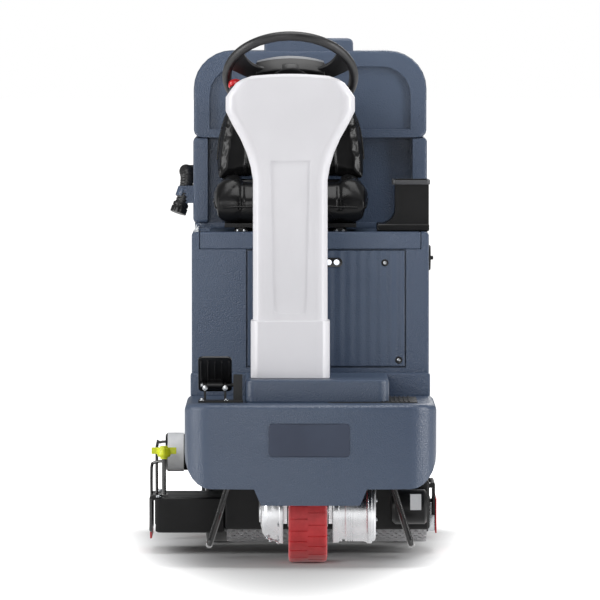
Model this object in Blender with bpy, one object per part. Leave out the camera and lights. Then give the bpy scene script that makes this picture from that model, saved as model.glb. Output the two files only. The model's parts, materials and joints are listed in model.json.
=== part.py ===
"""Ride-on floor scrubber, built from its separate pieces.

Everything is modelled in the machine's own frame: X across, Y from the bumper
(0) to the squeegee, Z up from the floor. An empty named machine then carries
all of it, so that the middle of the machine's outline stands at the origin.
"""

from math import asin, atan2, cos, pi, radians, sin, tan

import bpy
import bmesh
from mathutils import Matrix, Vector

# ---------------------------------------------------------------- driving sizes
GAP = 0.0003            # between pieces that touch
SEAM = 0.004            # visible joint between two casings

# Front deck: bumper, foot floor, tunnel and rear riser in one moulding
DECK_LENGTH = 0.610
DECK_WIDTH = 0.672
DECK_BOTTOM = 0.209
DECK_FLOOR = 0.435
DECK_WALL = 0.008
BUMPER_CORNER = 0.085   # plan radius of the front corners
BUMPER_ROUND = 0.017    # top edge rounding
BELLY_WIDE = 0.070      # how far the bottom corners come in
BELLY_HIGH = 0.095      # and how high they start
SKIRT_DROP = 0.043      # centre skirt below the bumper
SKIRT_TOP_WIDTH = 0.300
SKIRT_END_WIDTH = 0.263
TUNNEL_LEFT = -0.175
TUNNEL_RIGHT = 0.210
TUNNEL_HEIGHT = 0.062
TUNNEL_FRONT = 0.120
PLAQUE_X = -0.003
PLAQUE_WIDTH = 0.215
PLAQUE_HEIGHT = 0.088
PLAQUE_Z = 0.340
PLAQUE_THICK = 0.003
PLAQUE_SEAT = 0.006     # depth of its flat seat in the bowed bumper
RISER_WIDTH = 0.652
RISER_THICK = 0.025
PEDAL_X = -0.255
PEDAL_Y = 0.165
PEDAL_WIDTH = 0.090

# Frame
RAIL_X = 0.190
RAIL_HEIGHT = 0.045
SKID_Y = 0.500
SKID_HOOP = 0.070
SKID_LEAN = 0.320
SKID_RADIUS = 0.009
LINK_PIVOT_AHEAD = 0.093
LINK_PIN = 0.010

# Solution tank with the battery compartment in its front half
BOX_WIDTH = 0.646
BOX_LENGTH = 0.412
BOX_TOP = 0.879
SHOULDER = 0.022        # tank edge that shows beside the seat lid
COMPARTMENT_WALL = 0.030
COMPARTMENT_DEPTH = 0.420
BAY_FRONT_WALL = 0.026
BATTERY_HEIGHT = 0.340
ARCH_RISE = 0.012
FILL_RADIUS = 0.036
SKIRT_LOW = 0.215       # lower edge of the tank's flanks by the wheels
SKIRT_THICK = 0.016
SEAT_LID_LIP = 0.046    # height of the lid's front lip
PANEL_LEFT = -0.171
PANEL_RIGHT = 0.257
PANEL_BOTTOM = 0.514
PANEL_THICK = 0.012
FASTENER_RADIUS = 0.0095
LAMP_X = 0.056          # first of two lamps
LAMP_Z = 0.797
FASTENERS = ((0.203, 0.796), (0.241, 0.531))

# Recovery tank and its lid, behind the driver
TANK_LENGTH = 0.450
TANK_WIDTH = 0.647
TANK_HEIGHT = 0.236
TANK_LIFT = 0.016       # above the solution tank
PILLAR_WIDTH = 0.040
PILLAR_DEPTH = 0.040
LID_HEIGHT = 0.240
LID_WIDTH = 0.644
LID_BLOCK_WIDTH = 0.246
LID_BLOCK_RISE = 0.034
LID_BLOCK_X = -0.004
LID_FRAME = 0.044
LID_SHOULDER = 0.105
LID_RECESS = 0.012
DRAIN_RADIUS = 0.019
HOSE_RADIUS = 0.025

# Steering column and wheel
COLUMN_X = -0.054
COLUMN_FRONT = 0.180
COLUMN_DEPTH = 0.170
COLUMN_WIDTH = 0.200
COLUMN_FOOT_WIDTH = 0.212
COLUMN_HEAD_WIDTH = 0.346
COLUMN_TOP = 1.310
COLUMN_WALL = 0.005
HEAD_REACH = 0.100      # how far the head swells towards the driver
HEAD_CLEAR = 0.048      # between the head and the wheel's plane
SHAFT_Y = 0.215
SHAFT_RADIUS = 0.010
SPROCKET_BIG = 0.060
SPROCKET_SMALL = 0.020
SPROCKET_TEETH = 24
HUB_SHAFT_RADIUS = 0.011
ESTOP_X = -0.201
ESTOP_Y = 0.362
ESTOP_Z = 1.268
KEY_X = -0.165
WHEEL_TILT = radians(40)
WHEEL_RADIUS = 0.171    # to the middle of the rim
WHEEL_TUBE = 0.0125
WHEEL_CENTRE_Y = 0.390
WHEEL_CENTRE_Z = 1.304
HUB_WIDTH = 0.160

# Seat
SEAT_WIDTH = 0.440
SEAT_DEPTH = 0.370
SEAT_FRONT = 0.655
SEAT_BASE = 0.902       # underside of the cushion
CUSHION_THICK = 0.110
BACKREST_TOP = 1.262
BACKREST_THICK = 0.075
BACKREST_LEAN = radians(6)
RAIL_SPREAD = 0.270
BIN_RIGHT = 0.325       # storage bin's outer side
BIN_WIDTH = 0.093
BIN_DEPTH = 0.220
BIN_HEIGHT = 0.140

# Drive unit
TYRE_RADIUS = 0.140
TYRE_WIDTH = 0.104
TYRE_X = -0.007
STEER_Y = 0.290
DRIVE_LEFT = -0.138
DRIVE_RIGHT = 0.176
KINGPIN_RADIUS = 0.025

# Rear wheels
REAR_RADIUS = 0.140
REAR_WIDTH = 0.080
REAR_TREAD = 0.030
REAR_TRACK = 0.500
REAR_AXLE_AHEAD = 0.218
AXLE_RADIUS = 0.012

# Brush deck
BRUSH_DECK_Y = 0.840    # middle of the deck
BRUSH_DECK_LENGTH = 0.380
BRUSH_RADIUS = 0.075
BRUSH_LIFT = 0.030      # how high the raised brushes hang
BRUSH_DECK_TOP = 0.200
DECK_LEFT = -0.440
DECK_RIGHT = 0.325
END_BOX_WIDTH = 0.205
END_BOX_TOP = 0.154
HOOD_CLEAR = 0.036
MOTOR_RADIUS = 0.053
MOTOR_RIGHT_Z = 0.270
MOTOR_LEFT_Z = 0.132
KNOB_Z = 0.272
SIDE_BLADE_LOW = 0.056
BLADE_TOP = 0.150
HOSE_PLAY = 0.0008
CHAIN_PLAY = 0.0006
TRAY_BACK = 0.014       # between the debris tray and the deck's rear edge
SLIDE = 0.0005          # play of a drawer in its opening

# Squeegee
SQUEEGEE_WIDTH = 0.700
SQUEEGEE_BOW = 0.090
SQUEEGEE_LOW = 0.022    # blades' edge when raised
HOSE_SOCKET_BACK = 0.0

# ------------------------------------------------------------- derived places
BOX_FRONT = DECK_LENGTH + SEAM
BOX_BACK = BOX_FRONT + BOX_LENGTH
TANK_FRONT = BOX_BACK + 0.012
TANK_BACK = TANK_FRONT + TANK_LENGTH
REAR_Y = TANK_BACK - REAR_AXLE_AHEAD
LINK_PIVOT_Y = TANK_BACK - LINK_PIVOT_AHEAD
TANK_BASE = BOX_TOP + TANK_LIFT
TANK_TOP = TANK_BASE + TANK_HEIGHT
LID_TOP = TANK_TOP + GAP + LID_HEIGHT
TUNNEL_TOP = DECK_FLOOR + TUNNEL_HEIGHT
STEER_AXIS = Vector((0, sin(WHEEL_TILT), cos(WHEEL_TILT)))
WHEEL_CENTRE = Vector((COLUMN_X, WHEEL_CENTRE_Y, WHEEL_CENTRE_Z))
RAIL_BOTTOM = 2 * TYRE_RADIUS + 0.020
RAIL_TOP = RAIL_BOTTOM + RAIL_HEIGHT
TANK_BOTTOM = RAIL_TOP + GAP
COLUMN_STEP = TUNNEL_TOP + 0.155
POST_TOP = COLUMN_TOP - 0.180
SHAFT_TOP = POST_TOP - 0.010
PEDAL_Z = DECK_FLOOR + 0.046
LID_HALF = BOX_WIDTH / 2 - SHOULDER
LID_HINGE = (-LID_HALF - 0.007, BOX_FRONT + 0.200, BOX_TOP + 0.0085)
FILL_Y = TANK_FRONT + 0.180
FILL_Z = BOX_TOP - 0.085
LID_HINGE_Y = TANK_BACK + 0.009
LID_HINGE_Z = TANK_TOP - 0.012
DRAIN_Y = TANK_FRONT + 0.075
HOSE_TOP_Z = TANK_BASE + 0.120
HOSE_SPLIT_Z = 0.330
BRUSH_FRONT_Y = BRUSH_DECK_Y - BRUSH_DECK_LENGTH / 2 + 0.008 + BRUSH_RADIUS
BRUSH_REAR_Y = BRUSH_FRONT_Y + 2 * BRUSH_RADIUS + 0.006
TRAY_Y0 = BRUSH_REAR_Y + BRUSH_RADIUS + 0.005
TRAY_TOP = BRUSH_LIFT + 0.110
SQUEEGEE_Y = TANK_BACK + 0.110
SQUEEGEE_BACK = SQUEEGEE_Y + HOSE_SOCKET_BACK + 0.008 + HOSE_RADIUS

machine = None


# ------------------------------------------------------------- small tools
def clear_scene():
    for obj in list(bpy.data.objects):
        bpy.data.objects.remove(obj, do_unlink=True)


def finish(name, colour, roughness=0.5, metallic=0.0):
    """A material made once and shared by every piece that names it."""
    mat = bpy.data.materials.get(name)
    if mat is None:
        mat = bpy.data.materials.new(name)
        mat.use_nodes = True
        shader = mat.node_tree.nodes["Principled BSDF"]
        shader.inputs["Base Color"].default_value = (*colour, 1.0)
        shader.inputs["Roughness"].default_value = roughness
        shader.inputs["Metallic"].default_value = metallic
    return mat


BLUE = ("slate_blue_polyethylene", (0.075, 0.105, 0.155), 0.5, 0.0)
WHITE = ("off_white_abs", (0.76, 0.75, 0.77), 0.35, 0.0)
BLACK = ("black_polymer", (0.012, 0.012, 0.013), 0.45, 0.0)
VINYL = ("black_vinyl", (0.010, 0.010, 0.011), 0.3, 0.0)
STEEL = ("black_painted_steel", (0.015, 0.015, 0.016), 0.4, 0.3)
ZINC = ("zinc_plated_steel", (0.60, 0.61, 0.62), 0.3, 1.0)
ALUMINIUM = ("cast_aluminium", (0.62, 0.62, 0.62), 0.4, 1.0)
RED_TYRE = ("red_polyurethane", (0.47, 0.035, 0.035), 0.5, 0.0)
RED = ("red_polymer", (0.62, 0.02, 0.025), 0.35, 0.0)
YELLOW = ("yellow_polymer", (0.68, 0.75, 0.01), 0.4, 0.0)
RUBBER = ("black_rubber", (0.012, 0.012, 0.012), 0.7, 0.0)
GREY = ("grey_polymer", (0.22, 0.22, 0.23), 0.5, 0.0)
LENS = ("clear_lens", (0.85, 0.88, 0.90), 0.1, 0.0)


def node(name, bm, look, origin=(0, 0, 0), parent=None):
    """Turns a bmesh drawn in machine coordinates into an object whose origin
    is the given point, and hangs it under the machine's empty or a parent."""
    bmesh.ops.recalc_face_normals(bm, faces=bm.faces)
    bmesh.ops.translate(bm, verts=bm.verts, vec=-Vector(origin))
    mesh = bpy.data.meshes.new(name)
    bm.to_mesh(mesh)
    bm.free()
    obj = bpy.data.objects.new(name, mesh)
    bpy.context.scene.collection.objects.link(obj)
    place(obj, origin, parent)
    if look is not None:
        mesh.materials.append(finish(*look))
        mesh.shade_smooth()
        mesh.set_sharp_from_angle(angle=radians(35))
    return obj


def place(obj, origin, parent=None):
    holder = parent or machine
    start = Vector((0, 0, 0))
    up = parent
    while up is not None and up is not machine:
        start += up.location
        up = up.parent
    obj.parent = holder
    obj.location = Vector(origin) - start


def pivot(name, origin, parent=None):
    """An empty on a joint's axis; what turns there is parented to it."""
    obj = bpy.data.objects.new(name, None)
    bpy.context.scene.collection.objects.link(obj)
    place(obj, origin, parent)
    return obj


def helper(obj):
    obj.hide_render = True
    obj.display_type = "WIRE"
    return obj


def combine(target, other, operation):
    helper(other)
    mod = target.modifiers.new(operation.lower(), "BOOLEAN")
    mod.operation = operation
    mod.object = other
    mod.solver = "EXACT"
    return target


def add(target, *shapes):
    """Joins further shapes, drawn in machine coordinates, to a piece."""
    for i, bm in enumerate(shapes):
        other = node(f"{target.name}_add{len(target.modifiers)}", bm, None)
        combine(target, other, "UNION")
    return target


def cut(target, *shapes):
    for bm in shapes:
        other = node(f"{target.name}_cut{len(target.modifiers)}", bm, None)
        combine(target, other, "DIFFERENCE")
    return target


def soften(obj, width, segments=2, angle=40):
    mod = obj.modifiers.new("soften", "BEVEL")
    mod.width = width
    mod.segments = segments
    mod.limit_method = "ANGLE"
    mod.angle_limit = radians(angle)
    mod.use_clamp_overlap = True
    return obj


# ------------------------------------------------------------- shapes
def block(x0, x1, y0, y1, z0, z1):
    bm = bmesh.new()
    bmesh.ops.create_cube(bm, size=1.0)
    bmesh.ops.scale(bm, verts=bm.verts, vec=(x1 - x0, y1 - y0, z1 - z0))
    middle = Vector(((x0 + x1) / 2, (y0 + y1) / 2, (z0 + z1) / 2))
    bmesh.ops.translate(bm, verts=bm.verts, vec=middle)
    return bm


def arc(cu, cv, r, a0, a1, steps):
    """Points of an arc, angles in degrees."""
    points = []
    for i in range(steps + 1):
        a = radians(a0 + (a1 - a0) * i / steps)
        points.append((cu + r * cos(a), cv + r * sin(a)))
    return points


def rounded(u0, u1, v0, v1, r, steps=4):
    """Outline of a rectangle with rounded corners, anticlockwise."""
    r = min(r, (u1 - u0) / 2.01, (v1 - v0) / 2.01)
    corners = ((u1 - r, v0 + r, -90), (u1 - r, v1 - r, 0), (u0 + r, v1 - r, 90), (u0 + r, v0 + r, 180))
    points = []
    for cu, cv, a in corners:
        points += arc(cu, cv, r, a, a + 90, steps)
    return points


def circle(cu, cv, r, steps=24):
    return arc(cu, cv, r, 0, 360, steps)[:-1]


AXES = {
    "x": lambda u, v, w: Vector((w, u, v)),
    "y": lambda u, v, w: Vector((u, w, v)),
    "z": lambda u, v, w: Vector((u, v, w)),
}


def extruded(outline, axis, start, end):
    """A flat outline pushed along an axis: u, v are y, z or x, z or x, y."""
    return lofted([[AXES[axis](u, v, w) for u, v in outline] for w in (start, end)])


def lofted(rings):
    """Skin through rings that have as many points each, with flat ends."""
    bm = bmesh.new()
    rows = [[bm.verts.new(p) for p in ring] for ring in rings]
    count = len(rows[0])
    for low, high in zip(rows, rows[1:]):
        for i in range(count):
            j = (i + 1) % count
            bm.faces.new((low[i], low[j], high[j], high[i]))
    bm.faces.new(rows[0])
    bm.faces.new(rows[-1])
    return bm


def turned(profile, centre, axis="x", steps=24):
    """A profile of (radius, distance) spun about an axis through centre. The
    profile closes on itself, or on the axis where both its ends lie on it."""
    bm = bmesh.new()
    centre = Vector(centre)
    rows = []
    for r, h in profile:
        if r < 1e-6:
            rows.append([bm.verts.new(centre + AXES[axis](0, 0, h))])
            continue
        rows.append([bm.verts.new(centre + AXES[axis](u, v, h)) for u, v in circle(0, 0, r, steps)])
    pairs = list(zip(rows, rows[1:]))
    if len(rows[0]) > 1:
        pairs.append((rows[-1], rows[0]))
    for low, high in pairs:
        for i in range(steps):
            j = (i + 1) % steps
            if len(low) == 1:
                bm.faces.new((low[0], high[j], high[i]))
            elif len(high) == 1:
                bm.faces.new((low[i], low[j], high[0]))
            else:
                bm.faces.new((low[i], low[j], high[j], high[i]))
    return bm


def bar(x0, x1, y, z, r, steps=12):
    """A round bar across the machine, with facets like those of turned."""
    return extruded(circle(y, z, r, steps), "x", x0, x1)


def rod(start, end, r, steps=12):
    """A round bar between two points."""
    start = Vector(start)
    end = Vector(end)
    along = (end - start).normalized()
    side = along.orthogonal().normalized()
    other = along.cross(side)
    return lofted([[c + side * u + other * v for u, v in circle(0, 0, r, steps)] for c in (start, end)])


def swept(points, r, steps=8):
    """A round bar that follows a path, mitred at each point."""
    points = [Vector(p) for p in points]
    side = (points[1] - points[0]).orthogonal().normalized()
    rings = []
    for i, p in enumerate(points):
        before = (p - points[i - 1]).normalized() if i else None
        after = (points[i + 1] - p).normalized() if i + 1 < len(points) else None
        into = before or after
        out = after or before
        along = (into + out).normalized()
        side = (side - side.dot(along) * along).normalized()
        other = along.cross(side)
        stretch = 1 / max(0.5, along.dot(into))
        turn = (out - into)
        bend = turn.normalized() if turn.length > 1e-6 else Vector((0, 0, 0))
        ring = []
        for u, v in circle(0, 0, r, steps):
            offset = side * u + other * v
            ring.append(p + offset + bend * offset.dot(bend) * (stretch - 1))
        rings.append(ring)
    return lofted(rings)


def moved(bm, matrix):
    bmesh.ops.transform(bm, verts=bm.verts, matrix=matrix)
    return bm


def about(centre, axis, degrees):
    """Rotation about a line through centre."""
    centre = Vector(centre)
    turn = Matrix.Rotation(radians(degrees), 4, axis)
    return Matrix.Translation(centre) @ turn @ Matrix.Translation(-centre)


def wheel_lean():
    """From the steering wheel's own frame, flat on Z, to its place."""
    return Matrix.Translation(WHEEL_CENTRE) @ Matrix.Rotation(-WHEEL_TILT, 4, "X")


def smooth_path(points, steps):
    """Points of a smooth curve through the given ones."""
    points = [Vector(p) for p in points]
    path = []
    for i in range(len(points) - 1):
        p1 = points[i]
        p2 = points[i + 1]
        p0 = points[i - 1] if i else p1 * 2 - p2
        p3 = points[i + 2] if i + 2 < len(points) else p2 * 2 - p1
        for k in range(steps):
            t = k / steps
            path.append(
                0.5 * (2 * p1 + (p2 - p0) * t + (2 * p0 - 5 * p1 + 4 * p2 - p3) * t * t
                       + (3 * p1 - p0 - 3 * p2 + p3) * t ** 3)
            )
    path.append(points[-1])
    return path


# ------------------------------------------------------------- front deck
def deck_plan(inset, back):
    """Plan outline of the bumper: bowed front, rounded corners."""
    half = DECK_WIDTH / 2 - inset
    r = BUMPER_CORNER - inset
    bow = 0.022
    front = inset
    points = [(half, back)]
    points += arc(half - r, front + bow + r, r, 0, -84, 6)
    for i in range(1, 8):
        t = 1 - i / 4
        x = t * (half - r)
        points.append((x, front + bow * t * t))
    points += arc(-half + r, front + bow + r, r, -96, -180, 6)
    points.append((-half, back))
    return points


def deck_face(inset, top, skirt):
    """Front outline of the bumper: belly corners, and the skirt if wanted."""
    half = DECK_WIDTH / 2 - inset
    wide = BELLY_WIDE
    points = [(half, top)]
    low = DECK_BOTTOM if skirt else DECK_BOTTOM + inset
    for i in range(7):
        a = radians(15 * i)
        points.append((half - wide * (1 - cos(a)), low + BELLY_HIGH * (1 - sin(a))))
    if skirt:
        points.append((SKIRT_TOP_WIDTH / 2, DECK_BOTTOM))
        points.append((SKIRT_END_WIDTH / 2, DECK_BOTTOM - SKIRT_DROP))
    else:
        points.append((half - wide, DECK_BOTTOM - 2 * SKIRT_DROP))
    return points + [(-x, z) for x, z in reversed(points)]


def make_front_deck():
    back = DECK_LENGTH
    rings = []
    for inset, z in ((0, DECK_BOTTOM - SKIRT_DROP - 0.01), (0, DECK_FLOOR - BUMPER_ROUND),
                     (0.0022, DECK_FLOOR - 0.0085), (0.0085, DECK_FLOOR - 0.0022), (BUMPER_ROUND,
                                                                                    DECK_FLOOR)):
        rings.append([Vector((x, y, z)) for x, y in deck_plan(inset, back)])
    deck = node("front_deck", lofted(rings), BLUE)
    face = node("deck_face", extruded(deck_face(0, DECK_FLOOR + 0.01, True), "y", -0.01, back + 0.01), None)
    combine(deck, face, "INTERSECT")
    inner = node("deck_inside", extruded(deck_plan(DECK_WALL, back + 0.02), "z", 0.05,
                                         DECK_FLOOR - DECK_WALL), None)
    inner_face = extruded(deck_face(DECK_WALL, DECK_FLOOR, False), "y", -0.01, back + 0.03)
    combine(inner, node("deck_inside_face", inner_face, None), "INTERSECT")
    combine(deck, inner, "DIFFERENCE")
    # centre tunnel and rear riser
    low = DECK_FLOOR - DECK_WALL / 2
    tunnel_plan = rounded(TUNNEL_LEFT, TUNNEL_RIGHT, TUNNEL_FRONT, back + 0.05, 0.03, 3)
    tunnel = node("deck_tunnel", extruded(tunnel_plan, "z", low, TUNNEL_TOP), None)
    soften(tunnel, 0.010, 2, 60)
    combine(deck, tunnel, "UNION")
    riser = node("deck_riser", block(-RISER_WIDTH / 2, RISER_WIDTH / 2, back - RISER_THICK, back + 0.05,
                                     low, TUNNEL_TOP), None)
    soften(riser, 0.006, 2)
    combine(deck, riser, "UNION")
    cut(deck, block(-DECK_WIDTH, DECK_WIDTH, back, back + 0.1, 0, TUNNEL_TOP + 0.01))
    w = DECK_WALL
    hollow = rounded(TUNNEL_LEFT + w, TUNNEL_RIGHT - w, TUNNEL_FRONT + w, back - w, 0.022, 3)
    cut(deck, extruded(hollow, "z", DECK_FLOOR - 2 * w, TUNNEL_TOP - w))
    cut(deck, extruded(circle(COLUMN_X, SHAFT_Y, 0.030, 16), "z", TUNNEL_TOP - 2 * w, TUNNEL_TOP + 0.01))
    cut(deck, extruded(plaque_outline(GAP * 2), "y", -0.01, PLAQUE_SEAT))
    return deck


def plaque_outline(grow):
    half = PLAQUE_WIDTH / 2 + grow
    high = PLAQUE_HEIGHT / 2 + grow
    return rounded(PLAQUE_X - half, PLAQUE_X + half, PLAQUE_Z - high, PLAQUE_Z + high, 0.010 + grow, 3)


def make_plaque():
    """Bare plate in its flat seat on the bumper."""
    back = PLAQUE_SEAT - GAP
    plate = extruded(plaque_outline(0), "y", back - PLAQUE_THICK, back)
    return node("bumper_plaque", plate, BLUE)


# ------------------------------------------------------------- chassis
def make_chassis():
    """Welded frame: two rails, cross members, steering head, axle hangers."""
    rail_end = TANK_BACK - 0.060
    frame = node("chassis_frame", block(-RAIL_X - 0.022, -RAIL_X + 0.022, 0.050, rail_end, RAIL_BOTTOM,
                                        RAIL_TOP), STEEL)
    add(frame, block(RAIL_X - 0.022, RAIL_X + 0.022, 0.050, rail_end, RAIL_BOTTOM, RAIL_TOP))
    add(frame, block(-RAIL_X, RAIL_X, STEER_Y - 0.105, STEER_Y + 0.075, RAIL_BOTTOM + 0.012,
                     RAIL_TOP - 0.012))
    for y in (0.070, BOX_FRONT + 0.030, BRUSH_DECK_Y, BOX_BACK + 0.020, rail_end - 0.060):
        add(frame, block(-RAIL_X, RAIL_X, y - 0.020, y + 0.020, RAIL_BOTTOM + 0.006, RAIL_TOP - 0.006))
    # posts that carry the front deck
    for x in (-RAIL_X, RAIL_X):
        for y in (0.100, DECK_LENGTH - 0.070):
            add(frame, block(x - 0.015, x + 0.015, y - 0.015, y + 0.015, RAIL_TOP - 0.01,
                             DECK_FLOOR - DECK_WALL - GAP))
    # hangers for the rear axle
    for x in (-RAIL_X, RAIL_X):
        add(frame, block(x - 0.008, x + 0.008, REAR_Y - 0.035, REAR_Y + 0.035, REAR_RADIUS - 0.030,
                         RAIL_BOTTOM + 0.01))
    reach = REAR_TRACK / 2 + REAR_WIDTH / 2 + 0.012
    add(frame, bar(-reach, reach, REAR_Y, REAR_RADIUS, AXLE_RADIUS, 24))
    # bracket that the squeegee link hangs from
    add(frame, block(-0.045, 0.045, LINK_PIVOT_Y - 0.030, LINK_PIVOT_Y + 0.025, RAIL_BOTTOM - 0.040,
                     RAIL_BOTTOM + 0.01))
    add(frame, block(-0.045, 0.045, LINK_PIVOT_Y - 0.080, LINK_PIVOT_Y + 0.025, RAIL_BOTTOM + 0.004,
                     RAIL_BOTTOM + 0.030))
    # bores for the kingpin, the squeegee link and the column shaft
    cut(frame, extruded(circle(TYRE_X, STEER_Y, KINGPIN_RADIUS + GAP, 40), "z", RAIL_BOTTOM, RAIL_TOP))
    cut(frame, extruded(circle(0, LINK_PIVOT_Y, LINK_PIN + GAP, 16), "z", RAIL_BOTTOM - 0.050,
                        RAIL_BOTTOM + 0.014))
    cut(frame, extruded(circle(COLUMN_X, SHAFT_Y, SHAFT_RADIUS + GAP, 16), "z", RAIL_BOTTOM, RAIL_TOP))
    return frame


def make_skid(name, side):
    """Anti-tip hoop: a bent tube that leans outward under the deck's rear."""
    lean = SKID_LEAN * side
    tip = SKID_RADIUS * sin(atan2(SKID_LEAN, 1))
    top = Vector((side * RAIL_X, 0, RAIL_BOTTOM - GAP - tip))
    foot_z = 0.034
    foot_x = top.x + lean * (top.z - foot_z)
    bend = 0.018
    path = []
    y0 = SKID_Y - SKID_HOOP / 2
    y1 = SKID_Y + SKID_HOOP / 2
    path.append((top.x, y0, top.z))
    path.append((foot_x - lean * bend, y0, foot_z + bend))
    path.append((foot_x - lean * bend * 0.3, y0 + bend * 0.3, foot_z + bend * 0.3))
    path.append((foot_x, y0 + bend, foot_z))
    path.append((foot_x, y1 - bend, foot_z))
    path.append((foot_x - lean * bend * 0.3, y1 - bend * 0.3, foot_z + bend * 0.3))
    path.append((foot_x - lean * bend, y1, foot_z + bend))
    path.append((top.x, y1, top.z))
    return node(name, swept(path, SKID_RADIUS, 8), STEEL)


def make_rear_wheels():
    """Two free wheels, rubber bonded to their hubs, on the frame's axle."""
    half = REAR_TRACK / 2
    w = REAR_WIDTH / 2
    rim = REAR_RADIUS - REAR_TREAD
    bore = AXLE_RADIUS + GAP
    profile = [(bore, -w - 0.004), (0.032, -w - 0.004), (0.036, -w + 0.012), (rim - 0.016, -w + 0.012),
               (rim - 0.010, -w),
               (REAR_RADIUS - 0.008, -w), (REAR_RADIUS, -w + 0.010),
               (REAR_RADIUS, w - 0.010), (REAR_RADIUS - 0.008, w), (rim - 0.010, w),
               (rim - 0.016, w - 0.012), (0.036, w - 0.012), (0.032, w + 0.004), (bore, w + 0.004)]
    for name, side in (("right", -1), ("left", 1)):
        centre = Vector((side * half, REAR_Y, REAR_RADIUS))
        hinge = pivot(f"rear_wheel_{name}_axis", centre)
        node(f"rear_wheel_{name}", turned(profile, centre, "x", 24), RUBBER, centre, hinge)


# ------------------------------------------------------------- drive unit
def make_drive_unit():
    centre = Vector((TYRE_X, STEER_Y, TYRE_RADIUS))
    head = pivot("drive_steer_axis", (TYRE_X, STEER_Y, RAIL_BOTTOM))
    half = TYRE_WIDTH / 2
    inner = half + 0.004
    plate = 0.010
    roof = TYRE_RADIUS * 2 + 0.006
    # arch over the wheel, and the kingpin above it
    x0 = TYRE_X - inner - plate
    x1 = TYRE_X + inner + plate
    yoke = node("drive_yoke", block(x0, x1, STEER_Y - 0.045, STEER_Y + 0.045, roof, RAIL_BOTTOM - 0.002),
                ALUMINIUM, centre, head)
    for a, b in ((x0, x0 + plate), (x1 - plate, x1)):
        add(yoke, block(a, b, STEER_Y - 0.045, STEER_Y + 0.045, TYRE_RADIUS - 0.035, roof + 0.004))
    add(yoke, extruded(circle(TYRE_X, STEER_Y, KINGPIN_RADIUS, 20), "z", roof + 0.002, RAIL_TOP + 0.012))
    # toothed sprocket on the kingpin's end
    outline = []
    for i in range(SPROCKET_TEETH):
        a = 2 * pi * i / SPROCKET_TEETH
        for part, r in ((0.0, SPROCKET_BIG - 0.004), (pi / SPROCKET_TEETH, SPROCKET_BIG)):
            outline.append((TYRE_X + r * cos(a + part), STEER_Y + r * sin(a + part)))
    add(yoke, extruded(outline, "z", RAIL_TOP + 0.011, RAIL_TOP + 0.017))
    cut(yoke, bar(x0 - 0.01, x1 + 0.01, STEER_Y, TYRE_RADIUS, AXLE_RADIUS + GAP, 32))
    # left: domed reduction gear case
    left = DRIVE_LEFT
    seat = x0 - GAP
    case = [(0, left), (0.030, left), (0.052, left + 0.004), (0.070, left + 0.014), (0.084, left + 0.030),
            (0.090, seat - 0.010), (0.090, seat), (AXLE_RADIUS + 0.004, seat), (AXLE_RADIUS + 0.004,
                                                                                seat - 0.020),
                                                                                (0, seat - 0.020)]
    node("drive_gear_case", turned(case, (0, STEER_Y, TYRE_RADIUS), "x", 24), ALUMINIUM, centre, head)
    # right: motor with cooling fins and an end flange
    seat = x1 + GAP
    right = DRIVE_RIGHT
    motor = [(0, seat + 0.020), (AXLE_RADIUS + 0.004, seat + 0.020), (AXLE_RADIUS + 0.004, seat),
             (0.088, seat), (0.088, seat + 0.018),
             (0.082, seat + 0.020), (0.082, right - 0.022), (0.090, right - 0.020), (0.090,
                                                                                     right - 0.010),
                                                                                     (0.084, right - 0.004),
             (0.060, right), (0, right)]
    node("drive_motor", turned(motor, (0, STEER_Y, TYRE_RADIUS), "x", 24), ALUMINIUM, centre, head)
    # wheel
    spin = pivot("drive_wheel_axis", centre, head)
    rim = TYRE_RADIUS - 0.030
    w = half
    tyre = [(rim, -w), (TYRE_RADIUS - 0.010, -w), (TYRE_RADIUS - 0.003, -w + 0.005),
            (TYRE_RADIUS, -w + 0.014),
            (TYRE_RADIUS, w - 0.014), (TYRE_RADIUS - 0.003, w - 0.005), (TYRE_RADIUS - 0.010, w), (rim, w)]
    node("drive_tyre", turned(tyre, centre, "x", 32), RED_TYRE, centre, spin)
    reach = inner + plate + 0.012
    hub = [(0, -reach), (AXLE_RADIUS, -reach), (AXLE_RADIUS, -w - 0.002), (0.045, -w - 0.002),
           (0.045, -w + 0.012),
           (rim - 0.014, -w + 0.012), (rim - GAP, -w + 0.002), (rim - GAP, w - 0.002), (rim - 0.014,
                                                                                        w - 0.012),
           (0.045, w - 0.012), (0.045, w + 0.002), (AXLE_RADIUS, w + 0.002), (AXLE_RADIUS, reach), (0,
                                                                                                    reach)]
    node("drive_hub", turned(hub, centre, "x", 32), ALUMINIUM, centre, spin)


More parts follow.
